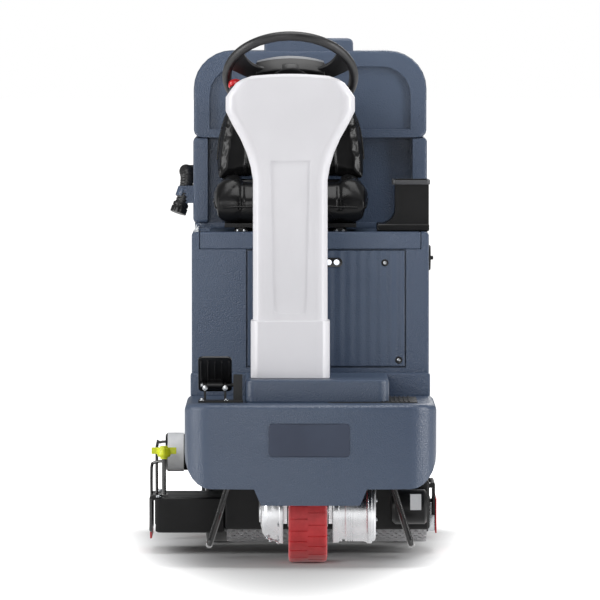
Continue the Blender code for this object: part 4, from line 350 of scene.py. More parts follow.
# Bright zinc plate: cool metal with small cloudy differences.
ZINC = surface(new_material("zinc_plated_steel", "#b9bcbf", 0.28, 1.0),
               "#acafb3", "#c4c7c9", 15, 1.5, 0.02, (0.22, 0.36))
# Sand-cast and bead-blasted: pale metal with wide, soft highlights.
CAST_ALUMINIUM = surface(new_material("blasted_cast_aluminium", "#e2e3e5", 0.30, 1.0),
                         "#dcdddf", "#e9eaec", 35, 1.6, 0.04, (0.22, 0.34))
# Turned on a lathe: brighter and sharper than the casting beside it.
TURNED_ALUMINIUM = surface(new_material("machined_aluminium", "#cfd0d2", 0.25, 1.0),
                           "#c4c5c7", "#d6d7d9", 25, 1.0, 0.01, (0.20, 0.30))

# %% Upholstery and labels
# Embossed vinyl: a leather pebble that breaks up a soft shine.
VINYL = surface(new_material("embossed_upholstery_vinyl", "#0d0d0e", 0.30, Specular_IOR_Level=0.2,
                             Coat_Weight=0.08, Coat_Roughness=0.14),
                "#0b0b0c", "#111112", 60, 2.4, 0.14, (0.24, 0.36), "pebble")
# Pale vinyl sheet with a matt face and nothing on it.
STICKER = surface(new_material("matt_vinyl_sticker", "#dfe0e2", 0.55),
                  "#d9dadc", "#e4e5e7", 30, 1.5, 0.01)
print(len(bpy.data.materials), "finishes")

# %% [markdown]
# ## From construction solids to finished pieces
# A construction solid has knife-sharp edges, and no real moulding or casting
# has. The eye reads a bright line along a rounded edge as "solid thing", so
# every solid is copied, its loose triangles are merged, its edges get a small
# bevel of the size its process gives, and the copy stands in for the solid.
# Two copies are also reshaped first: the column's cover gets an arched top and
# whole shoulders, and the emergency stop a head that stands a little prouder.

# %% Finished copies
BODY_OF = {node: body for body, nodes in frame["record"]["behaviour"]["bodies"].items() for node in nodes}


def select_only(obj):
    bpy.ops.object.select_all(action="DESELECT")
    obj.select_set(True)
    bpy.context.view_layer.objects.active = obj


def edit(obj, mode="VERT"):
    """Opens the object for editing with nothing selected."""
    select_only(obj)
    bpy.ops.object.mode_set(mode="EDIT")
    bpy.ops.mesh.select_mode(type=mode)
    bpy.ops.mesh.select_all(action="DESELECT")


def done():
    bpy.ops.object.mode_set(mode="OBJECT")


def apply_all(obj):
    select_only(obj)
    for modifier in list(obj.modifiers):
        bpy.ops.object.modifier_apply(modifier=modifier.name)


def bevel(obj, width_mm, segments=2, angle=35):
    modifier = obj.modifiers.new("rounded_edges", "BEVEL")
    modifier.width = width_mm * MM
    modifier.segments = segments
    modifier.limit_method = "ANGLE"
    modifier.angle_limit = radians(angle)
    apply_all(obj)


def smooth(obj, angle=35):
    select_only(obj)
    bpy.ops.object.shade_smooth_by_angle(angle=radians(angle))


def rounded(obj, width_mm, segments=2, angle=50, shade=35):
    """Rounds the edges of a new piece and shades it smooth."""
    bevel(obj, width_mm, segments, angle)
    smooth(obj, shade)
    return obj


def keep(obj, body, material, stands_for=()):
    """Places a finished piece: its finish, and the body it moves with."""
    select_only(obj)
    bpy.ops.object.transform_apply(location=True, rotation=True, scale=True)
    if material is not None:
        obj.data.materials.clear()
        obj.data.materials.append(material)
    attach(obj, body)
    if stands_for:
        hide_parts(*stands_for)
    return obj


def finished(node, material, edge_mm, segments=2, angle=32, reshape=None):
    """A copy of a solid with rounded edges, in place of that solid."""
    select_only(NODES[node])
    bpy.ops.object.duplicate()
    piece = bpy.context.object
    piece.name = node + "_finished"
    edit(piece)
    bpy.ops.mesh.select_all(action="SELECT")
    bpy.ops.mesh.remove_doubles(threshold=0.00002)
    bpy.ops.mesh.dissolve_limited(angle_limit=radians(0.5))
    done()
    if reshape:
        reshape(piece)
    rounded(piece, edge_mm, segments, angle, 40)
    weights = piece.modifiers.new("weighted_normals", "WEIGHTED_NORMAL")
    weights.keep_sharp = True
    apply_all(piece)
    return keep(piece, BODY_OF[node], material, [node])


MOULDINGS = (
    (POLYETHYLENE, 2.5, ("front_deck", "solution_tank", "seat_lid", "recovery_tank", "tank_lid")),
    (FLUTED_PANEL, 1.0, ("service_panel",)),
    (PLAQUE, 1.0, ("bumper_plaque",)),
    (WHITE_ABS, 3.0, ("column_front_cover",)),
    (GREY_ABS, 2.0, ("column_rear_cover",)),
    (GREY_ABS, 1.0, ("battery_pack", "vacuum_motor")),
    (BLACK_PP, 1.5, ("storage_bin", "deck_end_box", "debris_tray", "fill_cap")),
    (BLACK_NYLON, 0.6, ("accelerator_pedal", "pedal_bracket")),
    (POWDER_COAT, 1.5, ("chassis_frame", "brush_deck_hood", "squeegee_link", "brush_motor_right",
                        "brush_motor_left", "deck_actuator")),
    (POWDER_COAT, 0.6, ("side_squeegee_left", "seat_pan", "seat_rails", "column_post", "column_shaft",
                        "steering_chain")),
    (LACQUERED, 0.6, ("skid_left", "skid_right", "deck_lock_rod")),
    (ZINC, 0.4, ("seat_lid_hinge", "key_switch")),
    (CAST_ALUMINIUM, 2.0, ("drive_yoke", "squeegee_body")),
    (TURNED_ALUMINIUM, 1.0, ("drive_hub",)),
    (RED_GUM, 0.4, ("side_blade_left", "side_blade_right", "squeegee_blade")),
    (RED_NYLON, 1.0, ("emergency_stop",)),
    (YELLOW_NYLON, 1.0, ("wing_knob",)),
    (BLACK_NYLON, 0.6, ("one_touch_button",)),
)

COLUMN_MIDDLE, COLUMN_TOP = middle("column_front_cover").x, high("column_front_cover").z


def fill_shoulder(piece, side):
    """Closes the open slit in a shoulder with the hull of the points round it."""
    edit(piece)
    done()
    for vertex in piece.data.vertices:
        vertex.select = side * (vertex.co.x - COLUMN_MIDDLE) > 0.060 and vertex.co.z > COLUMN_TOP - 0.062
    bpy.ops.object.mode_set(mode="EDIT")
    bpy.ops.mesh.duplicate()
    bpy.ops.mesh.separate(type="SELECTED")
    done()
    plug = [obj for obj in bpy.context.selected_objects if obj != piece][0]
    edit(plug)
    bpy.ops.mesh.select_all(action="SELECT")
    bpy.ops.mesh.convex_hull()
    bpy.ops.mesh.normals_make_consistent(inside=False)
    done()
    union = piece.modifiers.new("fill", "BOOLEAN")
    union.operation = "UNION"
    union.object = plug
    apply_all(piece)
    select_only(plug)
    bpy.ops.object.delete()


def arch_column(piece):
    """Lifts the cover's flat top into a shallow arch, between upright cuts."""
    fill_shoulder(piece, 1)
    fill_shoulder(piece, -1)
    edit(piece)
    bpy.ops.mesh.select_all(action="SELECT")
    bpy.ops.mesh.dissolve_limited(angle_limit=radians(1.0))
    for i in range(-6, 7):
        bpy.ops.mesh.select_all(action="SELECT")
        bpy.ops.mesh.bisect(plane_co=(COLUMN_MIDDLE + 0.022 * i, 0, 0), plane_no=(1, 0, 0))
    done()
    for vertex in piece.data.vertices:
        up = min(1.0, max(0.0, (vertex.co.z - COLUMN_TOP + 0.060) / 0.055))
        across = (vertex.co.x - COLUMN_MIDDLE) / 0.155
        vertex.co.z += 0.013 * up * up * (3 - 2 * up) * (1 - across * across)


def enlarge_button(piece):
    """The mushroom head stands a little prouder than its solid."""
    base = middle("emergency_stop") - WHEEL_AXIS * 0.012
    for vertex in piece.data.vertices:
        vertex.co = base + (vertex.co - base) * 1.18


RESHAPE = {"column_front_cover": arch_column, "emergency_stop": enlarge_button}
for material, edge_mm, nodes in MOULDINGS:
    for node in nodes:
        finished(node, material, edge_mm, reshape=RESHAPE.get(node))
print(sum(len(nodes) for _, _, nodes in MOULDINGS), "finished copies made")

# %% [markdown]
# ## Plates from an outline
# Spokes, pods, labels and mats are all flat shapes with a thickness. One
# helper fills an outline, extrudes it in edit mode and puts it in place.

# %% Plate and ring helpers
def plate(name, outline, start, end, matrix=Matrix()):
    """An outline, filled and pushed along its own Z from start to end."""
    bpy.ops.object.select_all(action="DESELECT")
    bpy.ops.mesh.primitive_circle_add(vertices=len(outline), fill_type="NGON")
    piece = bpy.context.object
    piece.name = name
    for vertex, (x, y) in zip(piece.data.vertices, outline):
        vertex.co = (x, y, start)
    edit(piece, "FACE")
    bpy.ops.mesh.select_all(action="SELECT")
    bpy.ops.mesh.extrude_region_move(TRANSFORM_OT_translate={"value": (0, 0, end - start)})
    bpy.ops.mesh.select_all(action="SELECT")
    bpy.ops.mesh.normals_make_consistent(inside=False)
    done()
    piece.data.transform(matrix)
    return piece


def corner(cx, cy, radius, start, end, steps=6):
    return [(cx + radius * cos(radians(start + (end - start) * i / steps)),
             cy + radius * sin(radians(start + (end - start) * i / steps))) for i in range(steps + 1)]


def circle(radius, sides=24):
    return corner(0, 0, radius, 0, 360 - 360 / sides, sides - 1)


def rounded_box(x0, x1, y0, y1, radius, steps=6):
    return (corner(x1 - radius, y0 + radius, radius, -90, 0, steps)
            + corner(x1 - radius, y1 - radius, radius, 0, 90, steps)
            + corner(x0 + radius, y1 - radius, radius, 90, 180, steps)
            + corner(x0 + radius, y0 + radius, radius, 180, 270, steps))


def joined(name, pieces):
    """Several loose shapes made one piece."""
    bpy.ops.object.select_all(action="DESELECT")
    for piece in pieces:
        piece.select_set(True)
    bpy.context.view_layer.objects.active = pieces[0]
    if len(pieces) > 1:
        bpy.ops.object.join()
    piece = bpy.context.object
    piece.name = name
    return piece


TO_X = Matrix.Rotation(pi / 2, 4, "Y")      # turns a plate's Z to face +X
TO_FRONT = Matrix.Rotation(pi / 2, 4, "X")  # turns a plate's Z to face -Y


def disc(name, place, radius, start, end, turn, sides=24, edge_mm=0.8):
    piece = plate(name, circle(radius, sides), start, end, Matrix.Translation(place) @ turn)
    if edge_mm:
        bevel(piece, edge_mm, 2)
    smooth(piece)
    return piece


# %% [markdown]
# ## Bolts
# Zinc-plated hexagon heads with a washer under them, and socket-head screws
# on the drive unit. One is modelled and each copy gets its own mesh.

# %% Bolts
def bolts(name, places, turn, radius, body, socket=False):
    """Bolt heads whose +Z is turned to face outwards."""
    heads = []
    for i, place in enumerate(places):
        if i:
            select_only(heads[0])
            bpy.ops.object.duplicate()
            head = bpy.context.object
            head.data.transform(Matrix.Translation(Vector(place) - Vector(places[0])))
        else:
            at = Matrix.Translation(place) @ turn
            washer = plate("washer", circle(radius * 1.35), -0.0005, radius * 0.22, at)
            outline = circle(radius, 24 if socket else 6)
            shank = plate("head", outline, radius * 0.2, radius * (1.1 if socket else 0.85), at)
            if socket:
                edit(shank, "FACE")
                done()
                for face in shank.data.polygons:
                    face.select = face.normal.dot(turn @ Vector((0, 0, 1))) > 0.99
                bpy.ops.object.mode_set(mode="EDIT")
                bpy.ops.mesh.inset(thickness=radius * 0.45)
                down = turn @ Vector((0, 0, -radius * 0.5))
                bpy.ops.mesh.extrude_region_move(TRANSFORM_OT_translate={"value": down})
                done()
            head = joined("bolt_master", [washer, shank])
            bevel(head, radius * 60, 2)
            smooth(head)
        heads.append(head)
    return keep(joined(name, heads), body, ZINC)


# %% [markdown]
# ## Steering wheel
# The rim is steel tube overmoulded with soft polyurethane, so it is a smooth
# torus. Two broad spokes spring from the middle pod and sweep up to the rim.
# All of it is modelled flat, then leaned back onto the steering shaft.

# %% Rim and spokes
LEAN = Matrix.Translation(WHEEL_POS) @ Matrix.Rotation(-WHEEL_TILT, 4, "X")
RIM_RADIUS = 0.171
RIM_TUBE = 0.0125

bpy.ops.object.select_all(action="DESELECT")
bpy.ops.mesh.primitive_torus_add(major_radius=RIM_RADIUS, minor_radius=RIM_TUBE,
                                 major_segments=120, minor_segments=20)
rim = bpy.context.object
for vertex in rim.data.vertices:
    around = atan2(vertex.co.y, vertex.co.x)
    if vertex.co.z < 0:
        vertex.co.z *= 1 + 0.10 * (1 - cos(around * 36)) / 2
rim.data.transform(LEAN)
smooth(rim, 60)


def spoke_outline(side):
    """Broad at the pod, waisted, and broad again where it meets the rim."""
    upper = [Vector((0.062, -0.036)), Vector((0.110, -0.040)), Vector((0.128, -0.108))]
    lower = [Vector((0.168, -0.040)), Vector((0.120, 0.002)), Vector((0.062, 0.030))]
    points = []
    for a, b, c in (upper, lower):
        points += [a * (1 - t) ** 2 + b * 2 * t * (1 - t) + c * t * t for t in [i / 10 for i in range(11)]]
    return [(side * p.x, p.y) for p in points]


spokes = []
for side in (-1, 1):
    spoke = plate("spoke", spoke_outline(side), -0.005, 0.006, LEAN)
    rounded(spoke, 4.0, 4, 50, 50)
    spokes.append(spoke)
hub = plate("hub", circle(0.052, 36), -0.016, 0.006, LEAN)
bevel(hub, 4.0, 3)
backing = plate("backing", rounded_box(-0.070, 0.070, -0.034, 0.034, 0.02), -0.005, 0.006, LEAN)
shaft = plate("shaft", circle(0.011), -0.150, -0.012, LEAN)
boot = []
for i in range(5):
    boot.append(plate("boot", circle(0.019 - 0.001 * (i % 2)), -0.046 + 0.006 * i,
                      -0.041 + 0.006 * i, LEAN))
    bevel(boot[-1], 1.8, 3)
for piece in [hub, backing, shaft] + boot:
    smooth(piece)
# Soft polyurethane skin on the wheel: satin, with a fine leather grain.
STEERING_SOFT = surface(new_material("soft_moulded_polyurethane_black", "#1b1b1c", 0.42),
                        "#181819", "#202022", 60, 2.0, 0.05, (0.36, 0.50))
wheel = joined("steering_wheel_rim", [rim, hub, backing, shaft] + spokes + boot)
keep(wheel, "steering_wheel", STEERING_SOFT, ["steering_wheel"])

# %% [markdown]
# ## Wheel pod
# A display pod covers the hub. Its upper edge is arched and carries a paler
# strip with small lamps. The strip's pale grey is also a painted highlight,
# standing in for the light along the pod's rounded top edge. The dark face below
# holds the one-touch button.

# %% Pod
def arched(width, bottom, top, rise, radius):
    """An outline with rounded lower corners and an arched far side."""
    points = corner(width - radius, bottom - radius, radius, 90, 0, 5)[::-1]
    points += corner(-width + radius, bottom - radius, radius, 180, 90, 5)[::-1]
    arch = []
    for i in range(17):
        t = -1 + i / 8
        arch.append((width * t, top - rise * (1 - t * t)))
    return arch + points


pod_base = plate("pod_base", arched(0.093, 0.046, -0.030, 0.018, 0.022), -0.014, 0.026, LEAN)
rounded(pod_base, 3.5, 4, 40, 40)
keep(joined("wheel_pod", [pod_base]), "steering_wheel", BLACK_NYLON, ["wheel_hub_cover"])

arc_steps = [-1 + i / 8 for i in range(17)]
strip_outline = [(0.090 * t, -0.024 - 0.021 * (1 - t * t)) for t in arc_steps]
strip_outline += [(0.090 * t, -0.004 - 0.010 * (1 - t * t)) for t in arc_steps[::-1]]
strip = plate("pod_strip_painted_highlight", strip_outline, 0.022, 0.036, LEAN)
rounded(strip, 1.2, 3, 50, 50)
# Painted ABS, mid grey and satin. The strip is a real part, and its lighter grey is
# also a painted highlight for the light along the pod's rounded top edge.
GREY_AND_PAINTED_HIGHLIGHT = surface(new_material("satin_abs_grey_and_painted_highlight", "#77797d", 0.35),
                     "#717377", "#7d7f83", 40, 1.5, 0.02, (0.30, 0.40))
keep(strip, "steering_wheel", GREY_AND_PAINTED_HIGHLIGHT)

face = plate("pod_face", rounded_box(-0.078, 0.078, 0.002, 0.040, 0.008), 0.0245, 0.0272, LEAN)
rounded(face, 0.8, 2, 50, 50)
# Hard-coated polycarbonate over black: mirrors the lamps, hardly any grain.
GLOSS_FACE = new_material("hard_coated_polycarbonate_black", "#0d0e10", 0.12, 0.0, Coat_Weight=0.5)
surface(GLOSS_FACE, "#0b0c0d", "#111214", 50, 2.0, 0.004, (0.10, 0.18))
keep(face, "steering_wheel", GLOSS_FACE)

keys = []
for x in (-0.052, -0.034, -0.016, 0.002, 0.020):
    key = plate("pod_key", rounded_box(x - 0.006, x + 0.006, 0.012, 0.024, 0.003), 0.026, 0.0288, LEAN)
    bevel(key, 0.8, 2, 50)
    keys.append(key)
smooth(joined("pod_keys", keys))
keep(bpy.context.object, "steering_wheel", GREY_AND_PAINTED_HIGHLIGHT)
lamps = [disc("pod_lamp", LEAN @ Vector((x, -0.0205, 0.0355)), 0.003, 0, 0.0012,
              LEAN.to_3x3().to_4x4(), 16, 0.4) for x in (-0.080, 0.080)]
# A frosted lens lit from behind: a weak even glow and no pattern.
LAMP_WHITE = new_material("frosted_lamp_lens_white", "#f4f7fb", 0.3, 0.0, Emission_Strength=0.6)
LAMP_WHITE.node_tree.nodes["Principled BSDF"].inputs["Emission Color"].default_value = colour("#eef4ff")
keep(joined("pod_lamps", lamps), "steering_wheel", LAMP_WHITE)
print("steering wheel made")

# %% [markdown]
# ## Upholstery
# The seat is vinyl sewn over foam. A voxel remesh gives each pad an even
# mesh, and a short cloth simulation with pressure inside makes it swell
# between its edges, as foam does in a cover that was cut a little small.

# %% Padding
SWELL_CAP = 0.007    # how far the cloth may move, in metres
VOXEL = 0.0055       # the even mesh's cell
PIPING_RADIUS = 0.0028


def pad(name, node, shape, cuts=14, inset=0.006):
    """A swollen pad in the place of a plain construction solid."""
    corner_low, corner_high = low(node), high(node)
    size = corner_high - corner_low - Vector((2, 2, 2)) * inset
    bpy.ops.object.select_all(action="DESELECT")
    bpy.ops.mesh.primitive_cube_add(size=1, location=(corner_low + corner_high) / 2, scale=size)
    piece = bpy.context.object
    piece.name = name
    bpy.ops.object.transform_apply(location=True, rotation=True, scale=True)
    edit(piece)
    bpy.ops.mesh.select_all(action="SELECT")
    bpy.ops.mesh.subdivide(number_cuts=cuts)
    done()
    centre = (corner_low + corner_high) / 2
    for vertex in piece.data.vertices:
        unit = [2 * (vertex.co[i] - centre[i]) / size[i] for i in range(3)]
        vertex.co += Vector(shape(*unit))
    remesh = piece.modifiers.new("even_mesh", "REMESH")
    remesh.mode = "VOXEL"
    remesh.voxel_size = VOXEL
    relax = piece.modifiers.new("relax", "SMOOTH")
    relax.iterations = 12
    relax.factor = 0.6
    apply_all(piece)
    swell(piece)
    divide = piece.modifiers.new("fine", "SUBSURF")
    divide.levels = 1
    divide.render_levels = 1
    apply_all(piece)
    smooth(piece, 80)
    return piece


def swell(piece):
    """Inflates the cover for twenty frames, and caps how far it may go."""
    before = [vertex.co.copy() for vertex in piece.data.vertices]
    cloth = piece.modifiers.new("vinyl_cover", "CLOTH")
    cloth.settings.use_pressure = True
    cloth.settings.uniform_pressure_force = 4.0
    cloth.settings.tension_stiffness = 30
    cloth.settings.compression_stiffness = 30
    cloth.settings.effector_weights.gravity = 0
    scene = bpy.context.scene
    for frame_number in range(1, 21):
        scene.frame_set(frame_number)
    apply_all(piece)
    scene.frame_set(1)
    for vertex, start in zip(piece.data.vertices, before):
        move = vertex.co - start
        if move.length > SWELL_CAP:
            vertex.co = start + move.normalized() * SWELL_CAP


def channels(piece, depth_mm, width_mm, lines):
    """Sewn channels: the surface sinks along each line's distance."""
    for vertex in piece.data.vertices:
        sink = 0.0
        for line in lines:
            gap = line(vertex.co) / (width_mm * MM)
            sink = max(sink, 1 / (1 + gap * gap * gap * gap))
        if sink > 0.02:
            vertex.co -= vertex.normal * depth_mm * MM * sink
    piece.data.update()


def piping(name, piece, points, radius, body, material=None):
    """A cord or bead laid along a line on a piece's surface."""
    on_pad = []
    for point in points:
        _, place, normal, _ = piece.closest_point_on_mesh(Vector(point))
        on_pad.append(place + normal * radius * 0.35)
    curve = bpy.data.curves.new(name, "CURVE")
    curve.dimensions = "3D"
    curve.bevel_depth = radius
    curve.bevel_resolution = 3
    curve.use_fill_caps = True
    spline = curve.splines.new("POLY")
    spline.points.add(len(on_pad) - 1)
    for control, place in zip(spline.points, on_pad):
        control.co = (*place, 1)
    welt = bpy.data.objects.new(name, curve)
    bpy.context.scene.collection.objects.link(welt)
    select_only(welt)
    bpy.ops.object.convert(target="MESH")
    smooth(bpy.context.object, 60)
    return keep(bpy.context.object, body, material or VINYL)


# %% [markdown]
# ## Seat cushion and backrest
# Both pads are bucket shaped: a flatter middle with raised side bolsters. The
# cushion rolls over a large radius at the knees, and the backrest narrows
# towards its top.

# %% Cushion
SEAT_MID = middle("seat_cushion")
BOLSTER = 0.62      # share of the half width where the side bolsters start


def cushion_shape(x, y, z):
    side = max(0.0, (abs(x) - BOLSTER) / (1 - BOLSTER))
    dx = -0.010 * x * abs(x) ** 3 * (0.5 + 0.5 * abs(z))
    dy = 0.030 * max(0.0, -y) ** 4 * z * z * (0.5 if z < 0 else 1.0) - 0.010 * x * x * min(0.0, y)
    dz = 0.0
    if z > 0:
        dz = z * (0.020 * sin(side * pi) * (1.2 + 0.4 * y) - 0.014 * (1 - side) * (1 - y * y) * 0.6)
        dz -= z * 0.034 * max(0.0, -y - 0.45) ** 2
    else:
        dz = -z * 0.006 * x ** 4
    return dx, dy, dz


cushion = pad("seat_cushion_pad", "seat_cushion", cushion_shape)
edge_x = SEAT_MID.x
half_x = (high("seat_cushion").x - low("seat_cushion").x) / 2
seam_x = half_x * (BOLSTER - 0.02)


def above_seat(point):
    return 0.0 if point.z > SEAT_MID.z - 0.02 else 1.0


channels(cushion, 3.5, 5.0, [
    lambda p: abs(abs(p.x - edge_x) - seam_x) + above_seat(p),
    lambda p: abs(p.y - SEAT_MID.y + 0.045) + above_seat(p) + (0 if abs(p.x - edge_x) < seam_x else 1),
    lambda p: abs(p.y - SEAT_MID.y - 0.055) + above_seat(p) + (0 if abs(p.x - edge_x) < seam_x else 1),
])
keep(cushion, "seat", VINYL, ["seat_cushion"])

# %% Backrest
BACK_LOW, BACK_HIGH = low("seat_backrest"), high("seat_backrest")
BACK_MID = (BACK_LOW + BACK_HIGH) / 2


def backrest_shape(x, y, z):
    side = max(0.0, (abs(x) - BOLSTER) / (1 - BOLSTER))
    up = (z + 1) / 2
    lean = 0.012 * z
    narrow = -0.034 * x * up ** 1.5 - 0.030 * x * max(0.0, z - 0.4) ** 2
    hollow = 0.022 * (1 - min(1.0, abs(x)) ** 2) * (1 - 0.4 * up) if y < 0 else 0.0
    forward = -0.012 * sin(side * pi / 2) * (1 - up * 0.7) if y < 0 else 0.0
    crown = -0.020 * x * x * max(0.0, z) ** 2
    return narrow, lean + hollow + forward - 0.004 * y, crown


backrest = pad("seat_backrest_pad", "seat_backrest", backrest_shape)
seam_back = seam_x * 0.92


def in_front(point, inside=False):
    """0 on the backrest's front, and if asked between its seams; 1 elsewhere."""
    between = abs(point.x - edge_x) < seam_back or not inside
    return 0 if point.y < BACK_MID.y and between else 1


channels(backrest, 3.5, 5.0, [
    lambda p: abs(abs(p.x - edge_x) - seam_back * (1 - 0.10 * (p.z - BACK_LOW.z) / 0.25)) + in_front(p),
    lambda p: abs(p.z - BACK_MID.z + 0.035) + in_front(p, True),
    lambda p: abs(p.z - BACK_MID.z - 0.050) + in_front(p, True),
])
keep(backrest, "seat", VINYL, ["seat_backrest"])

# %% Piping
rear_y = BACK_MID.y + 0.004
outline = []
for i in range(41):
    turn = radians(-20 + 220 * i / 40)
    outline.append((edge_x + 0.24 * cos(turn), rear_y, BACK_MID.z + 0.19 * sin(turn)))
piping("backrest_piping", backrest, outline, PIPING_RADIUS, "seat")
rim_line = []
for i in range(49):
    turn = radians(-200 + 220 * i / 48)
    rim_line.append((edge_x + 0.27 * cos(turn), SEAT_MID.y + 0.02 + 0.22 * sin(turn), SEAT_MID.z - 0.012))
piping("cushion_piping", cushion, rim_line, PIPING_RADIUS, "seat")
print("seat has", len(cushion.data.polygons) + len(backrest.data.polygons), "faces")

# %% [markdown]
# ## Turned and wrapped shapes
# Tyres, housings and hoses are all a section carried round an axis or along a
# line. One helper lays a flat grid of faces where a rule says, and welds the
# ends, so that grooves and ribs can be part of the rule.

# %% Grid, lathe and hose helpers
def wrapped(name, rows, columns, place, angle=35):
    """A grid of rows x columns faces, laid at place(row, column)."""
    bpy.ops.object.select_all(action="DESELECT")
    bpy.ops.mesh.primitive_grid_add(x_subdivisions=rows, y_subdivisions=columns, size=1)
    piece = bpy.context.object
    piece.name = name
    for vertex in piece.data.vertices:
        vertex.co = place(round((vertex.co.x + 0.5) * rows), round((vertex.co.y + 0.5) * columns))
    edit(piece)
    bpy.ops.mesh.select_all(action="SELECT")
    bpy.ops.mesh.remove_doubles(threshold=0.00001)
    bpy.ops.mesh.normals_make_consistent(inside=False)
    done()
    smooth(piece, angle)
    return piece


def lathe(name, profile, centre, steps=64, angle=35):
    """(radius, x) points turned about the X axis through centre."""
    def place(i, j):
        r, x = profile[i]
        a = 2 * pi * (j % steps) / steps
        return centre + Vector((x, r * cos(a), r * sin(a)))
    return wrapped(name, len(profile) - 1, steps, place, angle)


# %% [markdown]
# ## Drive tyre
# The tyre is polyurethane cast onto its hub and then turned, with fine grooves
# cut across it. They alternate left and right of the centre line, which keeps
# a wet floor from floating the wheel. The grooves are part of the section's
# rule: each column of the grid knows how deep it lies.

# %% Tyre with cut grooves
def grooved_tyre(name, node, bore, pitches, groove_mm, wide, overlap_mm=2.0):
    """A tyre the size of a solid, its tread cut by alternating grooves."""
    centre = middle(node)
    half = (high(node).x - low(node).x) / 2
    radius = (high(node).z - low(node).z) / 2
    right = [(bore, 0), (bore, half * 0.94), (bore + 0.003, half * 0.985), (radius - 0.014, half),
             (radius - 0.0085, half * 0.985), (radius - 0.0035, half * 0.955),
             (radius - 0.0012, half * 0.90), (radius, half * 0.82), (radius, half * 0.55),
             (radius, half * 0.25),
             (radius, overlap_mm * MM), (radius, overlap_mm * MM * 0.4)]
    loop = right + [(r, -x) for r, x in right[:0:-1]] + [right[0]]
    phases = (-wide, -wide * 0.72, wide * 0.72, wide, 0.25, 0.5 - wide, 0.5 - wide * 0.72,
              0.5 + wide * 0.72, 0.5 + wide, 0.75)
    count = pitches * len(phases)

    def place(i, j):
        r, x = loop[i]
        turn, step = divmod(j % count, len(phases))
        phase = phases[step]
        side = 1 if phase < 0.25 else -1
        cut = abs(phase - (0 if side > 0 else 0.5)) < wide * 0.9
        if cut and r > radius - 0.009 and x * side > overlap_mm * MM * 0.7:
            r -= groove_mm * MM
        a = 2 * pi * (turn + phase) / pitches
        return centre + Vector((x, r * cos(a), r * sin(a)))
    return wrapped(name, len(loop) - 1, count, place, 30)


WHEEL = middle("drive_tyre")
TYRE_HALF = (high("drive_tyre").x - low("drive_tyre").x) / 2
TYRE_R = (high("drive_tyre").z - low("drive_tyre").z) / 2
tyre = grooved_tyre("drive_tyre_grooved", "drive_tyre", TYRE_R - 0.030, 26, 2.6, 0.055)
keep(tyre, "drive_wheel", RED_PU, ["drive_tyre"])

# %% [markdown]
# ## Drive unit
# The motor is a turned and finned aluminium housing and the reduction gear a
# sand-cast one. Both are lathed here, then a flange bead, a boss, studs and
# flange screws are put on, since plain drums would look like toy wheels.

# %% Motor
seat = TYRE_HALF + 0.0143              # the motor's mounting face
end = high("drive_motor").x - WHEEL.x  # its far end
profile = [(0, seat + 0.02), (0.016, seat + 0.02), (0.016, seat), (0.0865, seat), (0.088, seat + 0.0015),
           (0.088, seat + 0.016), (0.0865, seat + 0.0175), (0.0845, seat + 0.018), (0.0845, seat + 0.026),
           (0.079, seat + 0.0265), (0.079, seat + 0.033), (0.0835, seat + 0.0335), (0.0845, seat + 0.035)]
for i in range(3):
    fin = seat + 0.040 + 0.0062 * i
    profile += [(0.0845, fin), (0.0822, fin + 0.0006), (0.0822, fin + 0.0022), (0.0845, fin + 0.0028)]
profile += [(0.0845, end - 0.034), (0.087, end - 0.027), (0.0885, end - 0.0245), (0.090, end - 0.023),
            (0.090, end - 0.012), (0.0885, end - 0.0105), (0.085, end - 0.010), (0.084, end - 0.005),
            (0.080, end - 0.0015), (0.074, end - 0.0005), (0.060, end - 0.0005), (0.058, end - 0.003),
            (0.030, end - 0.003), (0.028, end - 0.0005), (0, end - 0.0005)]
keep(lathe("drive_motor_finned", profile, WHEEL, 72), "drive_unit", CAST_ALUMINIUM, ["drive_motor"])
ring = [(0.0892, end - 0.0235), (0.0905, end - 0.0225), (0.0905, end - 0.0205), (0.0892, end - 0.0195)]
rings = [lathe("bright_ring", ring, WHEEL, 72)]
ring = [(r - 0.002, x - end + seat + 0.0235) for r, x in ring]
rings.append(lathe("bright_ring", ring, WHEEL, 72))

# oval terminal boss on the motor's front, turned down towards the floor
boss_turn = Matrix.Rotation(radians(-32), 4, "X")
boss_at = Matrix.Translation(WHEEL + Vector((seat + 0.045, 0, 0))) @ boss_turn @ TO_FRONT
oval = [(0.019 * cos(2 * pi * i / 32), 0.028 * sin(2 * pi * i / 32)) for i in range(32)]
boss = plate("terminal_boss", oval, 0.070, 0.0915, boss_at)
rounded(boss, 2.5, 3)
cover = plate("terminal_cover", [(0.78 * x, 0.80 * y) for x, y in oval], 0.0905, 0.0935, boss_at)
rounded(cover, 0.8)
keep(joined("terminal_boss", [boss, cover]), "drive_unit", GREY_ABS)

# %% Gear case
case_seat = -TYRE_HALF - 0.0143
left = low("drive_gear_case").x - WHEEL.x
profile = [(0, case_seat - 0.02), (0.016, case_seat - 0.02), (0.016, case_seat), (0.0885, case_seat),
           (0.090, case_seat - 0.0015), (0.090, case_seat - 0.0095), (0.0885, case_seat - 0.011),
           (0.0805, case_seat - 0.0115), (0.080, case_seat - 0.022), (0.078, left + 0.026),
           (0.072, left + 0.016), (0.062, left + 0.009), (0.046, left + 0.005), (0.034, left + 0.004),
           (0.033, left + 0.001), (0.031, left), (0.012, left), (0.010, left + 0.003), (0, left + 0.003)]
case = lathe("drive_gear_case_turned", profile, WHEEL, 72)
keep(case, "drive_unit", CAST_ALUMINIUM, ["drive_gear_case"])

